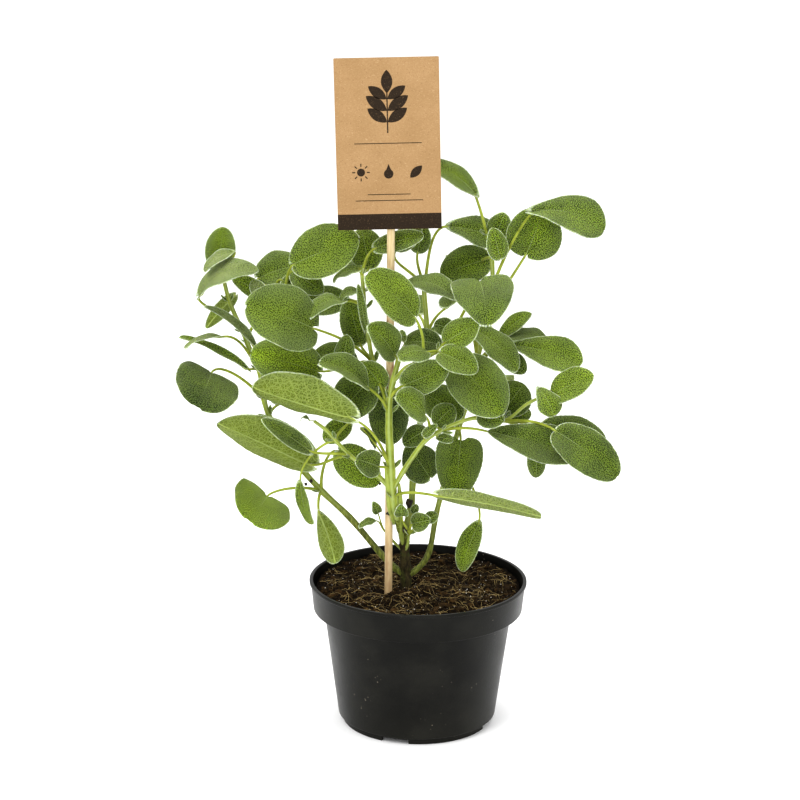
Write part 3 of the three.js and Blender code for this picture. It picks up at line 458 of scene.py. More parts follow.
class Leaf:
    """A blade and its petiole, from what leaf() says and what chance adds."""

    def __init__(self, base, tip, width, facing, shape, rng):
        self.base = np.asarray(base, float)
        along = np.asarray(tip, float) - self.base
        self.length = np.linalg.norm(along)
        self.along = along / self.length
        normal = np.asarray(facing, float)
        self.normal = unit(normal - self.along * normal.dot(self.along))
        self.across = np.cross(self.normal, self.along)
        self.width = width
        self.shape = {**BLADE_SHAPE, **shape}
        self.size = min(1.0, width / FULL_WIDTH)
        self.laterals = 2 + round(self.length / 11)
        self.forward = 0.42 * width / self.length
        self.shift = rng.uniform(0, 1)
        self.tint = rng.uniform(0, 0.9) + self.shape["velvet"]
        self.sag = rng.uniform(0.5, 1.3)
        self.tone = 0.5 + 0.5 * self.shape["tone"]

    def half(self, t):
        """Half the width at share t of the length."""
        return self.width / 2 * np.sin(math.pi * t ** self.shape["widest"]) ** self.shape["blunt"]

    def phase(self, t, v):
        """Whole numbers run along the side veins, which leave the rib by turns on its two sides."""
        return self.laterals * (t ** 0.9 - self.forward * np.abs(v) ** 1.25) + 0.22 * np.tanh(8 * v)

    def lift(self, t, v):
        """How far the blade stands up at each place: fold, wave, ripple, edge curl, pucker, groove."""
        half = self.half(t)
        wave = self.shape["wave"] * v * v * np.sin(2 * math.pi * (1.5 * t + 0.2 * v))
        ripple = v ** 4 * np.sin(2 * math.pi * (2.3 * t + self.shift + 0.3 * v))
        quilt = np.cos(2 * math.pi * self.phase(t, v)) * (1 - v ** 4) * np.minimum(1, 8 * np.abs(v))
        lift = half * np.abs(v) ** 1.5 * math.sin(math.radians(self.shape["fold"])) + wave
        lift += self.width * self.sag * (0.02 * ripple - EDGE_CURL * np.abs(v) ** 5)
        return lift - self.size * (PUCKER * quilt + 0.5 * np.exp(-(v * half / 0.9) ** 2) * (1 - t))

    def points(self, t, v):
        """Points of the blade's middle surface at shares t along it and v across it."""
        shape = self.shape
        rise = 4 * t * (1 - t)
        swing = math.radians(shape["twist"]) * (t - 0.5)
        teeth = np.abs(np.sin(math.pi * (self.length * t / TOOTH_PITCH + self.shift)))
        tooth = TOOTH_DEPTH * self.size * (teeth - 0.5) * np.abs(v) ** 12
        flat = (self.half(t) + tooth) * (v + shape["skew"] * (1 - v * v))
        flat = flat * math.cos(math.radians(shape["fold"]))
        lift = self.lift(t, v)
        along = self.length * (t - shape["lobe"] * v * v * (1 - t) ** 2)
        sideways = shape["bow"] * rise + flat * np.cos(swing) - lift * np.sin(swing)
        upwards = shape["arch"] * rise + lift * np.cos(swing) + flat * np.sin(swing)
        return (self.base + along[..., None] * self.along + sideways[..., None] * self.across
                + upwards[..., None] * self.normal)

    def add_blade(self, soup):
        small = self.width < SMALL_WIDTH
        stations, across = (SMALL_STATIONS, SMALL_ACROSS) if small else (STATIONS, ACROSS)
        steps = (1 - np.cos(math.pi * np.linspace(0, 1, stations))) / 2
        steps = np.clip(steps, 0.0006, 0.9994)
        sides = np.sin(math.pi / 2 * np.linspace(-1, 1, across))
        t, v = np.meshgrid(steps, sides, indexing="ij")
        middle = self.points(t, v)
        off = np.cross(np.gradient(middle, axis=0), np.gradient(middle, axis=1))
        off /= np.linalg.norm(off, axis=2)[..., None] + 1e-9
        off *= BLADE_THICKNESS * (0.25 + 0.25 * self.size)
        surface = np.concatenate([(middle + off).reshape(-1, 3), (middle - off).reshape(-1, 3)])
        uv = np.stack([v * self.half(t), t * self.length], -1).reshape(-1, 2)
        tint = [np.abs(v), self.phase(t, v), np.full(t.shape, self.tone), np.full(t.shape, self.tint)]
        tint = np.stack(tint, -1).reshape(-1, 4)
        start, count, end = soup.count, stations * across, (stations - 1) * across
        corners = [i * across + j for i in range(stations - 1) for j in range(across - 1)]
        rim = list(range(0, end, across)) + list(range(end, count))
        rim += [i * across - 1 for i in range(stations - 1, 0, -1)] + list(range(across - 2, 0, -1))
        soup.add(surface, [], UPPER, np.tile(uv, (2, 1)), np.tile(tint, (2, 1)))
        for slot, faces in (
            (UPPER, [(a + across, a + across + 1, a + 1, a) for a in corners]),
            (LOWER, [(a, a + 1, a + across + 1, a + across) for a in (c + count for c in corners)]),
            (UPPER, [(a, b, b + count, a + count) for a, b in zip(rim, rim[1:] + rim[:1])]),
        ):
            soup.faces.extend([tuple(start + i for i in face) for face in faces])
            soup.slots.extend([slot] * len(faces))

    def add_petiole(self, soup, root, direction):
        """The petiole leaves the stem, bends into the blade and runs on as the rib under it."""
        reach = np.linalg.norm(self.base - root)
        leave = 0.5 * direction + 0.5 * unit(self.base - root)
        radius = min(1.05, self.width / 12)
        inside = np.linspace(0.02, 0.86, RIB_STEPS)
        rib = self.points(inside, np.zeros(RIB_STEPS)) - self.normal * 0.45 * (0.5 + 0.5 * self.size)
        turn = rib[0] - self.along * self.shape["bend"] * reach
        arm = bezier(root, root + leave * 0.4 * reach, turn, rib[0], ARM_STEPS)[:-1]
        radii = np.concatenate([np.linspace(1.15, 0.75, len(arm)), np.linspace(0.45, 0.135, RIB_STEPS)])
        points, faces = tube(np.concatenate([arm, rib]), radii * radius, PETIOLE_SIDES)
        tint = np.zeros((len(points), 4))
        into_blade = np.interp(np.arange(len(radii)), (ARM_STEPS - 3, ARM_STEPS + 1), (0, 1))
        tint[:, 1] = np.repeat(into_blade, PETIOLE_SIDES)
        tint[:, 2:] = self.tone, self.tint
        soup.add(points, faces, STEM, tint=tint)


def add_stem(soup, radii, path, woody):
    """A square stem, thicker at its nodes, with soft ridges. Returns its centres."""
    centres = smooth_path(path, PATH_STEPS)
    count = len(centres)
    swell = np.zeros(count)
    for point in range(1, len(path) - 1):
        swell += np.exp(-((np.arange(count) - point * PATH_STEPS) / 2.0) ** 2)
    radii = np.linspace(*radii, count) * (1 + NODE_SWELL * swell)
    radii[0] *= 0.5
    points, faces = tube(centres, radii, STEM_SIDES, 0.1)
    wood = np.clip((woody - points[:, 2]) / WOOD_FADE, 0, 1)
    # The four corners are painted paler than the grooves between them: painted highlights and shade on
    # the stem's ridges.
    ridge = np.tile(0.5 + 0.5 * np.cos(np.arange(STEM_SIDES) * math.pi / 3), count)
    middling = np.full(len(points), 0.5)
    soup.add(points, faces, STEM, tint=np.stack([wood, ridge, middling, middling], -1))
    return centres


def add_strands(soup):
    for strand in STRANDS:
        along = smooth_path(strand, 6)
        radii = np.interp(np.linspace(0, 1, len(along)), *STRAND_RADII)
        soup.add(*tube(along, radii, 16, 0.08), STEM, tint=(0, 0.4, 0.5, 0.5))


def add_leaflets(soup, rng, centres, point):
    """Two tiny leaves in the axils of a node of the stem."""
    index, last = point * PATH_STEPS, len(centres) - 1
    at = centres[min(index, last)]
    ahead = unit(centres[min(index + 3, last)] - centres[max(index - 3, 0)])
    for _ in range(2):
        sideways = unit(np.array([rng.uniform(-1, 1), rng.uniform(-1, 0.4), rng.uniform(-0.3, 0.6)]))
        sideways = unit(sideways - ahead * sideways.dot(ahead))
        length = rng.uniform(3.5, 8)
        aim = unit(0.9 * ahead + sideways * rng.uniform(0.5, 1.1))
        base = at + aim * 2.2
        facing = sideways * -0.4 + np.array((0, -0.6, 0.6))
        shape = {"arch": -0.6, "fold": 22, "wave": 0.1, "tone": rng.uniform(0.2, 0.9)}
        leaflet = Leaf(base, base + aim * length, length * 0.5, facing, shape, rng)
        leaflet.add_blade(soup)
        leaflet.add_petiole(soup, at, aim)


def leafy_stem(name, materials):
    radii, path, leaves = LEAFY_STEMS[name]
    rng = random.Random(name)
    soup = Soup()
    centres = add_stem(soup, radii, path, WOODY_BELOW.get(name, WOODY_FOOT))
    if name == "leafy_stem_centre":
        add_strands(soup)
    nodes = set()
    for point, base, tip, width, facing, shape in leaves:
        blade = Leaf(sighted(base), sighted(tip), width, facing, shape, rng)
        at = point * PATH_STEPS
        ahead = centres[min(at + 1, len(centres) - 1)] - centres[at - 1]
        blade.add_petiole(soup, centres[at], unit(ahead))
        blade.add_blade(soup)
        if width > LEAST_NODE_WIDTH:
            nodes.add(point)
    for point in sorted(nodes):
        add_leaflets(soup, rng, centres, point)
    return soup.to_object(name.replace("leafy_stem", "sage").replace("basal", "sage"), materials)


def woody_crown(material):
    soup = Soup()
    centres = smooth_path(CROWN_PATH, 14)
    radii = np.interp(np.linspace(0, 1, len(centres)), *CROWN_RADII)
    knots = np.array([noise.noise(Vector((0, 0, z / 5))) for z in centres[:, 2]])
    soup.add(*tube(centres, radii * (1 + 0.22 * knots), 18))
    rng = random.Random(4)
    for index in CROWN_SNAGS:
        at = centres[index]
        aim = unit(np.array((rng.uniform(-1, 1), -0.7, rng.uniform(0.2, 0.9))))
        soup.add(*tube([at, at + aim * 4.2, at + aim * 6], [1.2, 0.9, 0.4], 8))
    return soup.to_object("woody_crown", [material])


def withered_buds(material):
    soup = Soup()
    shape, faces = unit_ball()
    for place, radius, tall in WITHERED:
        wobble = np.array([noise.noise(Vector(p) * 1.6 + Vector(place)) for p in shape])
        points = shape * (1 + 0.6 * wobble[:, None]) * (radius, radius, radius * tall)
        soup.add(points + sighted(place), faces)
    return soup.to_object("withered_buds", [material])


# ------------------------------------------------------------------ materials


class Value:
    """A number that a material's nodes work out, used in sums like any number."""

    def __init__(self, paint, socket):
        self.paint, self.socket = paint, socket

    def math(self, operation, *others):
        inputs = dict(enumerate((self, *others)))
        return self.paint.value("Math", inputs, 0, operation=operation)

    def __add__(self, other):
        return self.math("ADD", other)

    def __mul__(self, other):
        return self.math("MULTIPLY", other)

    def __sub__(self, other):
        return self.math("SUBTRACT", other)

    def __truediv__(self, other):
        return self.math("DIVIDE", other)

    def most(self, other):
        return self.math("MAXIMUM", other)

    def ramp(self, low, high, start=0.0, end=1.0):
        """Maps low..high smoothly to start..end."""
        inputs = {"Value": self, "From Min": low, "From Max": high, "To Min": start, "To Max": end}
        return self.paint.value("MapRange", inputs, "Result", interpolation_type="SMOOTHSTEP")


class Paint:
    """A material whose colour is built up layer by layer."""

    def __init__(self, name):
        self.material = bpy.data.materials.new(name)
        self.material.use_nodes = True
        tree = self.material.node_tree
        self.nodes, self.links, self.shader = tree.nodes, tree.links, tree.nodes["Principled BSDF"]
        self.place = self.node("TexCoord").outputs["Object"]
        self.height = self.split(self.place)[2]
        self.colour = None

    def node(self, kind, inputs=None, **settings):
        node = self.nodes.new("ShaderNode" + kind)
        for key, value in settings.items():
            setattr(node, key, value)
        for key, value in (inputs or {}).items():
            self.put(node.inputs[key], value)
        return node

    def value(self, kind, inputs, output, **settings):
        return Value(self, self.node(kind, inputs, **settings).outputs[output])

    def put(self, socket, value):
        if isinstance(value, Value):
            value = value.socket
        if isinstance(value, bpy.types.NodeSocket):
            self.links.new(value, socket)
        elif isinstance(value, tuple) and len(value) == 3 and socket.type == "RGBA":
            socket.default_value = (*value, 1)
        else:
            socket.default_value = value

    def split(self, vector):
        return [Value(self, output) for output in self.node("SeparateXYZ", {"Vector": vector}).outputs]

    def stretched(self, upwards):
        inputs = {"Vector": self.place, "Scale": (1, 1, upwards)}
        return self.node("Mapping", inputs).outputs["Vector"]

    def noise(self, vector, scale, detail, roughness=0.55):
        inputs = {"Vector": vector, "Scale": scale, "Detail": detail, "Roughness": roughness}
        return self.value("TexNoise", inputs, "Fac")

    def voronoi(self, vector, scale, dimensions="2D", feature="F1"):
        settings = {"voronoi_dimensions": dimensions, "feature": feature}
        return self.value("TexVoronoi", {"Vector": vector, "Scale": scale}, "Distance", **settings)

    def tint(self):
        node = self.node("Attribute", attribute_name="tint")
        parts = self.node("SeparateColor", {"Color": node.outputs["Color"]}).outputs
        return [Value(self, output) for output in (*parts[:3], node.outputs["Alpha"])]

    def mix(self, share, first, second, blend="MIX", clamped=True):
        node = self.node("Mix", data_type="RGBA", blend_type=blend, clamp_factor=clamped)
        for key, value in (("Factor", share), ("A", first), ("B", second)):
            self.put(node.inputs[key], value)
        return node.outputs["Result"]

    def coat(self, share, colour):
        """Lays a colour over what the material has so far."""
        self.colour = self.mix(share, self.colour, colour)

    def finish(self, roughness, relief=None, depth=0.0, **constants):
        self.put(self.shader.inputs["Base Color"], self.colour)
        self.put(self.shader.inputs["Roughness"], roughness)
        for key, value in constants.items():
            self.shader.inputs[key.replace("_", " ")].default_value = value
        if relief:
            bump = self.node("Bump", {"Height": relief, "Distance": depth})
            self.put(self.shader.inputs["Normal"], bump.outputs["Normal"])
        return self.material


PEBBLES = 1.35
WIDE_NET = 0.36
FINE_NET = 0.8


def leaf_material(name, dark, light, vein, edge, raised):
    """raised is true for the under face, whose veins stand out of it."""
    paint = Paint(name)
    across, phase, tone, own = paint.tint()
    surface = paint.node("UVMap", uv_map="surface").outputs["UV"]
    beside, from_base, _ = paint.split(surface)
    off_rib = beside.math("ABSOLUTE")
    from_edge = off_rib * ((across * -1 + 1) / across.most(0.01))
    grain = paint.noise(paint.place, 1600, 2)
    patch = paint.noise(paint.place, 55, 3)
    bright = tone * 0.75 + own.math("FRACT") * 0.2 + patch.ramp(0.3, 0.7, -0.2, 0.2)
    paint.colour = paint.mix(bright, dark, light, clamped=False)
    if raised:
        wide = paint.voronoi(surface, WIDE_NET, feature="DISTANCE_TO_EDGE").ramp(0.02, 0.13, 1, 0)
        fine = paint.voronoi(surface, FINE_NET, feature="DISTANCE_TO_EDGE").ramp(0.03, 0.2, 0.75, 0)
        side_veins = (paint.noise(surface, 0.16, 3) * 0.7 + phase).math("FRACT").math("PINGPONG", 0.5)
        main_veins = off_rib.ramp(0.3, 0.7, 1, 0).most(side_veins.ramp(0.012, 0.06, 0.85, 0))
        veins = main_veins.most(wide.most(fine) * 0.8)
        relief = grain * 0.2 + veins
        vein_share = veins * 0.9
        speck = grain.ramp(0.3, 0.75, 0.85, 1.15)
    else:
        # The pebbles' tops are painted lighter and paler and the grooves between them darker, a painted
        # light and shade of the relief, over a fine grain of the leaf's own.
        dome = paint.voronoi(surface, PEBBLES).ramp(0.15, 0.6, 1, 0)
        rib = off_rib.ramp(0.1, 0.45, 1, 0) * from_base.ramp(9, 30, 0.9, 0.12)
        relief = grain * 0.4 + dome - rib
        vein_share = (rib * 0.5).most(dome * 0.12)
        speck = (grain * 0.8 + dome).ramp(0.3, 1.4, 0.2, 2.0)
    speckled = paint.mix(1.0, paint.colour, speck, "MULTIPLY")
    paint.colour = paint.mix(vein_share, speckled, vein)
    # Faces that look up are painted paler: a painted highlight of the top light on the down.
    up = paint.split(paint.node("NewGeometry").outputs["Normal"])[2]
    paint.coat(up.ramp(0.45, 0.98, 0, 0.22) * grain.ramp(0.3, 0.65, 0.4, 1), (0.3, 0.37, 0.12))
    # Leaves so marked are greyed all over: partly the grey of their down, partly a painted sheen.
    velvet = own.ramp(0.9, 1.0) * grain.ramp(0.35, 0.65, 0, 0.8) * patch.ramp(0.35, 0.65, 0.45, 1)
    paint.coat(velvet, (0.31, 0.34, 0.19))
    # A grey band along the margins: a painted sheen where the blade curves away at its edges.
    paint.coat(from_edge.ramp(0.3, 5, 0.25, 0) * patch.ramp(0.35, 0.65, 0.3, 1), (0.2, 0.24, 0.12))
    # Grey painted towards the edges across the blade, a painted sheen: less of it on the darkest and on
    # bright, yellow leaves, most on the brightest, whose tone is painted light.
    middling = tone.ramp(0.4, 0.9, 0.4 if raised else 1, 0.2) * tone.ramp(0.05, 0.4, 0.3, 1)
    greyness = middling.most(tone.ramp(1.0, 1.2, 0, 1.3))
    paint.coat(across.ramp(0.1, 0.95, 0, 0.42) * greyness, (0.15, 0.2, 0.075))
    tufts = paint.noise(surface, 0.8, 1).ramp(0.38, 0.58, 0.45, 1)
    paint.coat(from_edge.ramp(0.28, 0.68, 1, 0) * tufts * patch.ramp(0.35, 0.6, 0.45, 1), edge)
    return paint.finish(
        grain.ramp(0.2, 0.8, 0.5, 0.75), relief, 0.0007, Specular_IOR_Level=0.12,
        Sheen_Weight=0.17, Sheen_Roughness=0.25, Sheen_Tint=(0.85, 0.95, 0.55, 1),
        Subsurface_Weight=0.25, Subsurface_Radius=(0.7, 1.0, 0.15), Subsurface_Scale=0.0006)


def stem_material():
    paint = Paint("sage green stem")
    wood, ridge, tone, _ = paint.tint()
    streaks = paint.noise(paint.stretched(0.15), 900, 3)
    patch = paint.noise(paint.place, 120, 3)
    paint.colour = paint.mix(patch.ramp(0.3, 0.7), (0.15, 0.18, 0.012), (0.29, 0.335, 0.045))
    # Petioles take their leaf's tone, partly its own colour and partly painted light and shade.
    paint.coat(tone.ramp(0.4, 1.0, 0, 0.5), (0.3, 0.36, 0.05))
    # Paler corners on stems are a painted highlight; on petioles the same channel makes the rib under the
    # blade paler, its own colour.
    paint.coat(ridge * 0.75, (0.3, 0.37, 0.13))
    brown = paint.mix(streaks.ramp(0.35, 0.65), (0.06, 0.07, 0.012), (0.15, 0.17, 0.03))
    paint.coat(wood.ramp(0.1, 0.9), brown)
    return paint.finish(
        0.6, streaks, 0.0003, Specular_IOR_Level=0.2,
        Sheen_Weight=0.3, Sheen_Roughness=0.3, Sheen_Tint=(0.9, 1.0, 0.8, 1),
        Subsurface_Weight=0.1, Subsurface_Radius=(0.5, 1.0, 0.2), Subsurface_Scale=0.001)


def bark_material():
    paint = Paint("sage bark")
    ridges = paint.noise(paint.stretched(0.25), 700, 5, 0.65)
    patch = paint.noise(paint.place, 160, 3)
    paint.colour = paint.mix(ridges.ramp(0.3, 0.7), (0.008, 0.006, 0.003), (0.06, 0.048, 0.018))
    paint.coat(patch.ramp(0.5, 0.75, 0, 0.6), (0.06, 0.075, 0.015))
    fresh = paint.mix(ridges.ramp(0.35, 0.65), (0.07, 0.085, 0.01), (0.25, 0.29, 0.06))
    paint.coat(paint.height.ramp(0.128, 0.138), fresh)
    return paint.finish(0.85, ridges, 0.0009, Specular_IOR_Level=0.15)


def plastic_material():
    paint = Paint("black pot plastic")
    cloud = paint.noise(paint.place, 30, 4)
    peel = paint.noise(paint.place, 900, 2)
    chance = paint.noise(paint.place, 45, 2).ramp(0.56, 0.66)
    fleck = paint.voronoi(paint.place, 260, "3D").ramp(0.05, 0.16, 1, 0) * chance
    scuff = paint.noise(paint.stretched(9), 90, 5, 0.7).ramp(0.62, 0.8, 0, 0.35)
    dust = cloud.ramp(0.35, 0.75, 0.0, 0.12) + paint.height.ramp(0.0, 0.03, 0.1, 0) + scuff * 0.3
    paint.colour = paint.mix(dust, (0.0038, 0.0038, 0.0028), (0.06, 0.058, 0.045))
    paint.coat(fleck * 0.55, (0.26, 0.22, 0.17))
    rough = cloud.ramp(0.3, 0.7, 0.28, 0.4) + scuff * 0.5
    return paint.finish(rough, fleck * 0.8 + peel, 0.00008, Specular_IOR_Level=0.14)


def soil_material(name, dark, light):
    paint = Paint(name)
    own = paint.tint()[3]
    grain = paint.noise(paint.place, 900, 5, 0.7)
    clods = paint.noise(paint.place, 140, 4)
    paint.colour = paint.mix(own * 0.45 + grain.ramp(0.35, 0.75, 0, 0.6), dark, light)
    paint.coat(clods.ramp(0.4, 0.6, 0.35, 0), (0.006, 0.004, 0.003))
    return paint.finish(0.95, grain, 0.001, Specular_IOR_Level=0.08)


def fibre_material():
    paint = Paint("coir fibre")
    own = paint.tint()[3]
    paint.colour = paint.mix(own.ramp(0.25, 0.95), (0.014, 0.009, 0.004), (0.52, 0.39, 0.17))
    paint.coat(paint.noise(paint.place, 1200, 2).ramp(0.35, 0.7, 0.3, 0), (0.03, 0.016, 0.008))
    return paint.finish(0.8, Specular_IOR_Level=0.15)


def plain_material(name, dark, light, scale, detail=3, rough=0.8, depth=0.0002):
    paint = Paint(name)
    grain = paint.noise(paint.place, scale, detail)
    paint.colour = paint.mix(grain.ramp(0.3, 0.7), dark, light)
    return paint.finish(rough, grain if depth else None, depth)


def wood_material():
    paint = Paint("pale rod wood")
    grain = paint.noise(paint.stretched(0.03), 900, 5, 0.6)
    blotch = paint.noise(paint.stretched(0.35), 170, 4)
    paint.colour = paint.mix(grain.ramp(0.3, 0.7), (0.43, 0.33, 0.16), (0.58, 0.48, 0.28))
    band = paint.height.ramp(0.225, 0.25) * paint.height.ramp(0.3, 0.335, 1, 0)
    stain = blotch.ramp(0.42, 0.6) * (band * 0.7 + 0.25)
    paint.coat(stain + paint.height.ramp(0.1, 0.17, 0.36, 0.04), (0.2, 0.09, 0.03))
    return paint.finish(0.62, grain, 0.0002)


def kraft_material(name, ink=None, rough=0.85, gloss=0.25):
    """Kraft board, or ink on it that lets a little of the board through."""
    paint = Paint(name)
    cloud = paint.noise(paint.place, 60, 4)
    pulp = paint.noise(paint.place, 1400, 3)
    fibres = paint.noise(paint.stretched(5), 420, 4, 0.7)
    chips = paint.voronoi(paint.place, 420, "3D")
    paint.colour = paint.mix(cloud.ramp(0.3, 0.7), (0.285, 0.18, 0.084), (0.32, 0.205, 0.1))
    paint.coat(pulp.ramp(0.35, 0.7, 0.35, 0), (0.22, 0.12, 0.05))
    paint.coat(fibres.ramp(0.58, 0.7, 0, 0.55), (0.52, 0.37, 0.22))
    paint.coat(chips.ramp(0.08, 0.2, 0.45, 0), (0.17, 0.085, 0.035))
    if ink:
        paint.coat(pulp.ramp(0.55, 0.85, 1, 0.65), ink)
    return paint.finish(rough, pulp, 0.0001, Specular_IOR_Level=gloss)


# ------------------------------------------------------------------ pot

POT_PROFILE = [
    (0, 0), (18, 0), (19, 3), (48.5, 3), (48.5, 0), (51.5, 0), (51.5, 4), (54.6, 5), (64.9, 80.3),
    (72.1, 81.3), (74, 99.6), (75, 99.6), (75, 101.6), (72.5, 101.6), (70.6, 82.8), (63.4, 82.8),
    (53.3, 6), (51.7, 4.5), (0, 4.5),
]
POT_SEGMENTS = 180
EDGE_RADIUS = 0.5
SHARP_ANGLE = math.radians(38)
# The foot's gaps: where they are, in degrees, and the box that cuts each.
FOOT_GAPS = (-17, 73, 163, 253)
FOOT_GAP = {"x": (-9.5, 9.5), "y": (-56, -44), "z": (-3, 3)}
DRAINS = 8
DRAIN_RADIUS = 4.5
DRAIN_RING_RADIUS = 34
BOX_FACES = [(0, 1, 3, 2), (4, 6, 7, 5), (0, 4, 5, 1), (2, 3, 7, 6), (0, 2, 6, 4), (1, 5, 7, 3)]


def cutter(points, faces):
    soup = Soup()
    soup.add(points, faces)
    return soup.to_object("cutter", [], smooth=False)


def nursery_pot(material):
    soup = Soup()
    soup.add(*lathe(rounded(POT_PROFILE, EDGE_RADIUS), POT_SEGMENTS))
    pot = soup.to_object("nursery_pot", [material])
    cutters = []
    for angle in FOOT_GAPS:
        box = np.array([(x, y, z) for x in FOOT_GAP["x"] for y in FOOT_GAP["y"] for z in FOOT_GAP["z"]])
        rotation = np.array(Matrix.Rotation(math.radians(angle), 3, "Z"))
        cutters.append(cutter(box @ rotation.T, BOX_FACES))
    for i in range(DRAINS):
        x, y = polar(DRAIN_RING_RADIUS, 2 * math.pi * (i + 0.5) / DRAINS)
        cutters.append(cutter(*tube([(x, y, -7), (x, y, 0), (x, y, 7)], [DRAIN_RADIUS] * 3, 32)))
    for other in cutters:
        modifier = pot.modifiers.new("cut", "BOOLEAN")
        modifier.operation = "DIFFERENCE"
        modifier.object = other
    bpy.context.view_layer.update()
    shape = bpy.data.meshes.new_from_object(pot.evaluated_get(bpy.context.evaluated_depsgraph_get()))
    pot.modifiers.clear()
    pot.data = shape
    for other in cutters:
        bpy.data.objects.remove(other)
    pot.data.set_sharp_from_angle(angle=SHARP_ANGLE)
    return pot


# ------------------------------------------------------------------ soil

SOIL_Z = 96.6
SOIL_RADIUS = 70.1
SOIL_UNDER = [(0, 5), (51, 5), (52.4, 6.4), (62.5, 83.2), (70, 84)]
SOIL_RINGS, SOIL_SEGMENTS = 76, 240
FADE_RADIUS = 72.1
RELIEF = 1.1
LUMPS, LUMP_SIZE = 1.6, 9
TRUNK, TRUNK_ROOM = (-8.3, -4), 5
STAKE, STAKE_ROOM = (-20.2, -19), 3.6
CRUMBS, FIBRES, GRIT = 2400, 1500, 240
SMALLEST_CRUMB, CRUMB_RANGE = 0.4, 1.9
FIBRE_LENGTHS, FIBRE_RADII = (4, 26), (0.07, 0.17)
FIBRE_TAPER = ((0, 0.15, 0.8, 1), (0.5, 1, 0.8, 0.3))
FIBRE_STEPS, FEWEST_POINTS = 12, 5
GRIT_SIZES = (0.2, 0.55)


def soil_height(x, y):
    """The surface of the soil: a gentle relief with finer lumps on it."""
    fade = 1 - (math.hypot(x, y) / FADE_RADIUS) ** 4
    relief = RELIEF * fade * (math.sin(x / 9 + 1) * math.cos(y / 11) + 0.6 * math.sin((x - y) / 6))
    return SOIL_Z + relief + LUMPS * noise.fractal(Vector((x, y, 0)) / LUMP_SIZE, 0.5, 2.1, 5)


def potting_soil(material):
    top = [(SOIL_RADIUS * i / SOIL_RINGS, SOIL_Z) for i in range(SOIL_RINGS, -1, -1)]
    points, faces = lathe(SOIL_UNDER + top, SOIL_SEGMENTS)
    for point in points:
        if point[2] == SOIL_Z:
            point[2] = soil_height(point[0], point[1])
    soup = Soup()
    soup.add(points, faces, tint=(0, 0, 0, 0.3))
    return soup.to_object("potting_soil", [material])


def open_soil(x, y):
    """True where neither the trunk nor the stake stands."""
    return math.dist((x, y), TRUNK) > TRUNK_ROOM and math.dist((x, y), STAKE) > STAKE_ROOM


def scattered(rng, count, margin):
    """Random places on the open soil, some way in from the pot."""
    for _ in range(count):
        distance = (SOIL_RADIUS - margin) * math.sqrt(rng.random())
        x, y = polar(distance, rng.uniform(0, 2 * math.pi))
        if open_soil(x, y):
            yield x, y


def soil_crumbs(material):
    rng = random.Random(7)
    soup = Soup()
    shape, faces = unit_ball()
    for x, y in scattered(rng, CRUMBS, 1.5):
        size = SMALLEST_CRUMB + CRUMB_RANGE * rng.random() ** 4
        wobble = np.array([noise.noise(Vector(p) * 1.3 + Vector((x, y, size))) for p in shape])
        stretch = np.array([rng.uniform(0.7, 1.5), rng.uniform(0.7, 1.2), rng.uniform(0.5, 0.9)]) * size
        rotation = np.array(Matrix.Rotation(rng.uniform(0, 6.28), 3, "Z"))
        points = (shape * (1 + 0.55 * wobble[:, None]) * stretch) @ rotation.T
        points += np.array((x, y, soil_height(x, y) + 0.15 * size))
        soup.add(points, faces, tint=(0, 0, 0, rng.random() ** 2))
    return soup.to_object("soil_crumbs", [material])


def curved_strand(rng, x, y, length, lift):
    """Points of a fibre that lies on the soil, its middle raised by lift."""
    heading = rng.uniform(0, 2 * math.pi)
    bend = rng.uniform(-0.045, 0.045)
    step = length / FIBRE_STEPS
    points = []
    for i in range(FIBRE_STEPS + 1):
        s = i / FIBRE_STEPS
        points.append((x, y, soil_height(x, y) + 0.35 + lift * 4 * s * (1 - s)))
        heading += bend * step + rng.uniform(-0.12, 0.12)
        x += math.cos(heading) * step
        y += math.sin(heading) * step
        if math.hypot(x, y) > SOIL_RADIUS - 1.5 or not open_soil(x, y):
            break
    return points


def coir_fibres(material):
    rng = random.Random(11)
    soup = Soup()
    for x, y in scattered(rng, FIBRES, 4):
        length = rng.uniform(*FIBRE_LENGTHS)
        points = curved_strand(rng, x, y, length, rng.uniform(0, 1.6))
        if len(points) < FEWEST_POINTS:
            continue
        radii = np.interp(np.linspace(0, 1, len(points)), *FIBRE_TAPER) * rng.uniform(*FIBRE_RADII)
        soup.add(*tube(points, radii, 5), tint=(0, 0, 0, rng.random() ** 2))
    return soup.to_object("coir_fibres", [material])


def soil_grit(material):
    rng = random.Random(5)
    soup = Soup()
    corners = np.array([(0, 0, 1), (1, 0, 0), (0, 1, 0), (-1, 0, 0), (0, -1, 0), (0, 0, -1)], float)
    faces = [(0, 1, 2), (0, 2, 3), (0, 3, 4), (0, 4, 1), (5, 2, 1), (5, 3, 2), (5, 4, 3), (5, 1, 4)]
    for x, y in scattered(rng, GRIT, 3):
        jitter = np.array([[rng.uniform(0.6, 1.2) for _ in range(3)] for _ in corners])
        size = rng.uniform(*GRIT_SIZES)
        soup.add(corners * jitter * size + np.array((x, y, soil_height(x, y) + 0.9)), faces)
    return soup.to_object("soil_grit", [material])


# ------------------------------------------------------------------ stake and card

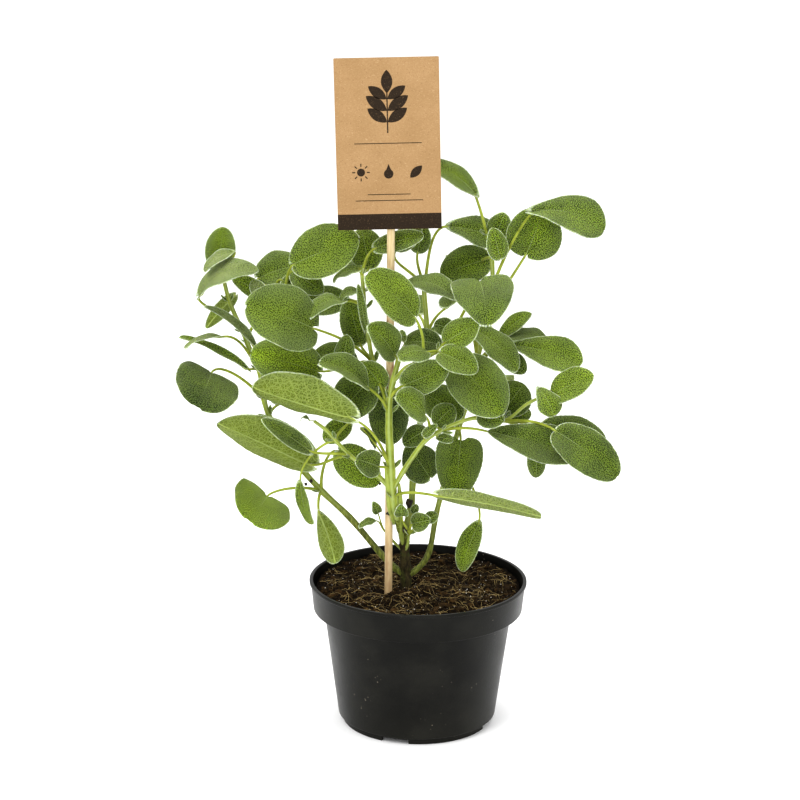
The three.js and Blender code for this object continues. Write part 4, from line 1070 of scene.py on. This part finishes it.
ROD_FOOT = np.array((-20.3, -19, 17.0))
ROD_TOP = np.array((-20.4, -17, 446.0))
ROD_RADIUS = 2.65
ROD_RINGS, ROD_SIDES = 60, 32
ROD_END = 0.85
CARD_WIDTH, CARD_THICKNESS, CARD_HEIGHT = 68, 0.8, 112.6
CARD_CENTRE = (-22.7, -17 - ROD_RADIUS - 0.3 - CARD_THICKNESS, 407)
CARD_LEAN = math.radians(1.7)
CARD_CORNER = 0.6
BAND_HEIGHT = 10.4
INK_HEIGHT, INK_THICKNESS = 0.06, 0.08
SPRIG = ((14.5, 6.6), (16.5, 7.4), (15.5, 7))
SUN_X, DROP_RADIUS = -18, 3.1


def wooden_rod(material):
    rng = random.Random(3)
    share = np.linspace(0, 1, ROD_RINGS)
    centres = ROD_FOOT + share[:, None] * (ROD_TOP - ROD_FOOT)
    radii = np.array([ROD_RADIUS * (1 + rng.uniform(-0.012, 0.008)) for _ in share])
    centres = np.concatenate([centres[:1] - (0, 0, 0.01), centres, centres[-1:] + (0, 0, 0.01)])
    radii = np.concatenate([[radii[0] * ROD_END], radii, [radii[-1] * ROD_END]])
    soup = Soup()
    soup.add(*tube(centres, radii, ROD_SIDES))
    return soup.to_object("wooden_rod", [material])


def on_card(name, outlines, front, thickness, material):
    """Flat plates of (x, z) outlines about the card's middle, turned and moved to where the card is."""
    soup = Soup()
    for outline in outlines:
        count = len(outline)
        points = [(x, front + back, z) for back in (0, thickness) for x, z in outline]
        faces = [tuple(range(count)), tuple(range(2 * count - 1, count - 1, -1))]
        faces += [(k + count, (k + 1) % count + count, (k + 1) % count, k) for k in range(count)]
        soup.add(points, faces)
    piece = soup.to_object(name, [material], smooth=False)
    lean = Matrix.Rotation(-CARD_LEAN, 4, "Y")
    piece.data.transform(Matrix.Translation(Vector(CARD_CENTRE) * MM) @ lean)
    return piece


def arc(x, z, radius, start, end, steps):
    """Points round (x, z), from one angle to another in degrees."""
    turns = np.radians(np.linspace(start, end, steps))
    return [(x + radius * math.cos(turn), z + radius * math.sin(turn)) for turn in turns]


def rectangle(x0, x1, z0, z1):
    return [(x0, z0), (x1, z0), (x1, z1), (x0, z1)]


def ray(x, z, angle):
    """A short stroke that points away from (x, z), for the sign of the sun."""
    turn = math.radians(angle)
    along, beside = np.array(polar(1, turn)), np.array(polar(0.35, turn + math.pi / 2))
    near, far = along * 3.8 + (x, z), along * 5.8 + (x, z)
    return [tuple(p) for p in (near - beside, far - beside, far + beside, near + beside)]


def leaf_outline(x, z, length, width, angle, steps=12):
    """A plain pointed leaf shape that starts at (x, z)."""
    along, beside = np.array(polar(1, math.radians(angle))), np.array(polar(1, math.radians(angle + 90)))
    shares = [(1, i / steps) for i in range(steps + 1)]
    shares += [(-1, i / steps) for i in range(steps - 1, 0, -1)]
    return [tuple((x, z) + along * length * t + beside * side * width / 2 * math.sin(math.pi * t) ** 0.8)
            for side, t in shares]


def kraft_card(material):
    """The card, with slightly rounded corners."""
    outline = []
    for sx, sz, start in ((1, 1, 0), (-1, 1, 90), (-1, -1, 180), (1, -1, 270)):
        x, z = sx * (CARD_WIDTH / 2 - CARD_CORNER), sz * (CARD_HEIGHT / 2 - CARD_CORNER)
        outline += arc(x, z, CARD_CORNER, start, start + 90, 5)
    return on_card("kraft_card", [outline], -CARD_THICKNESS / 2, CARD_THICKNESS, material)


def card_print(material):
    """Plain printing: a sprig, rules, signs for sun, water and leaf, and a band along the bottom."""
    side, top = CARD_WIDTH / 2 - 0.05, CARD_HEIGHT / 2
    row = 38 - top
    shapes = [rectangle(-side, side, 0.05 - top, BAND_HEIGHT - top)]
    shapes.append(rectangle(-0.4, 0.4, top - 49, top - 22))
    shapes.append(leaf_outline(0, top - 23, 15, 7.4, 90))
    for step, (length, width) in enumerate(SPRIG):
        for way in (1, -1):
            shapes.append(leaf_outline(0.3 * way, top - 27 - 7.5 * step, length, width, 90 - 54 * way))
    for reach, z in ((22, top - 56), (22, 19 - top), (14, 23 - top)):
        shapes.append(rectangle(-reach, reach, z, z + 0.5))
    shapes.append(arc(SUN_X, row, 2.6, 0, 360 - 360 / 28, 28))
    shapes.extend(ray(SUN_X, row, 45 * k) for k in range(8))
    shapes.append(arc(0, row - 1.2, DROP_RADIUS, -240, 60, 24) + [(0, row - 1.2 + 2.1 * DROP_RADIUS)])
    shapes.append(leaf_outline(14, row - 4, 11, 5.4, 45))
    return on_card("card_print", shapes, -CARD_THICKNESS / 2 - INK_HEIGHT, INK_THICKNESS, material)


# ------------------------------------------------------------------ the object

leaf_materials = [
    leaf_material("sage leaf upper face", (0.045, 0.075, 0.006), (0.195, 0.28, 0.012), (0.4, 0.5, 0.2),
                  (0.6, 0.68, 0.46), False),
    leaf_material("sage leaf under face", (0.066, 0.096, 0.008), (0.145, 0.19, 0.014), (0.34, 0.42, 0.1),
                  (0.55, 0.62, 0.4), True),
    stem_material(),
]
for stem_name in LEAFY_STEMS:
    add_piece(leafy_stem(stem_name, leaf_materials), "foliage", stem_name)

withered = plain_material("withered bud", (0.004, 0.003, 0.002), (0.035, 0.022, 0.01), 700)
peat = soil_material("potting soil", (0.002, 0.0013, 0.0005), (0.018, 0.01, 0.0035))
crumbs = soil_material("soil crumbs", (0.004, 0.0025, 0.001), (0.11, 0.064, 0.024))
pale_grit = plain_material("pale grit", (0.5, 0.45, 0.36), (0.8, 0.76, 0.68), 600)
ink = kraft_material("black ink on kraft", (0.02, 0.012, 0.006), 0.7, 0.15)
add_piece(woody_crown(bark_material()), "bark", "stem_crown")
add_piece(withered_buds(withered), "bark")
add_piece(nursery_pot(plastic_material()), "plastic", "pot")
add_piece(potting_soil(peat), "soil", "soil")
add_piece(soil_crumbs(crumbs), "soil")
add_piece(coir_fibres(fibre_material()), "soil")
add_piece(soil_grit(pale_grit), "soil")
add_piece(wooden_rod(wood_material()), "wood", "stake")
add_piece(kraft_card(kraft_material("kraft card")), "kraft", "plant_card")
add_piece(card_print(ink), "kraft")

# ------------------------------------------------------------------ stage, light and camera

FLOOR_REACH = 6
LIGHT_AIM = Vector((0, 0, 0.22))
# (name, place, size, power)
LIGHTS = [
    ("key", (-0.9, -1.3, 1.7), 0.9, 22), ("fill", (1.5, -1.0, 1.0), 1.4, 6),
    ("front", (-0.3, -2.1, 0.35), 1.2, 12), ("top", (0.1, 0.3, 1.8), 1.2, 16),
]
CAMERA_LENS = 110.25
CAMERA_PITCH, CAMERA_ROLL = math.radians(15.24), math.radians(0.49)


def studio_floor():
    corners = [(*corner, 0) for corner in rectangle(-FLOOR_REACH, FLOOR_REACH, -FLOOR_REACH, FLOOR_REACH)]
    mesh = bpy.data.meshes.new("studio_floor")
    mesh.from_pydata(corners, [], [(0, 1, 2, 3)])
    white = plain_material("white studio floor", (0.9, 0.9, 0.9), (0.93, 0.93, 0.93), 3, 2, 0.9, 0)
    mesh.materials.append(white)
    floor = show("studio_floor", mesh)


def studio_light(name, place, size, power):
    data = bpy.data.lights.new(name, "AREA")
    data.shape = "DISK"
    data.size = size
    data.energy = power
    light = show(name, data)
    light.location = place
    light.rotation_euler = (LIGHT_AIM - Vector(place)).to_track_quat("-Z", "Y").to_euler()


def studio():
    world = bpy.data.worlds.new("studio")
    world.use_nodes = True
    background = world.node_tree.nodes["Background"]
    background.inputs["Color"].default_value = (1, 1, 1, 1)
    background.inputs["Strength"].default_value = 1.0
    scene = bpy.context.scene
    scene.world = world
    scene.view_settings.view_transform = "Standard"
    scene.view_settings.look = "Medium High Contrast"
    for light in LIGHTS:
        studio_light(*light)


def photo_camera():
    data = bpy.data.cameras.new("camera")
    data.sensor_fit = "HORIZONTAL"
    data.sensor_width = 36
    data.lens = CAMERA_LENS
    data.clip_start = 0.05
    camera = show("camera", data)
    tilt = Matrix.Rotation(math.pi / 2 - CAMERA_PITCH, 4, "X") @ Matrix.Rotation(CAMERA_ROLL, 4, "Z")
    camera.matrix_world = Matrix.Translation(Vector(VIEWPOINT) * MM) @ tilt
    bpy.context.scene.camera = camera


studio_floor()
studio()
photo_camera()
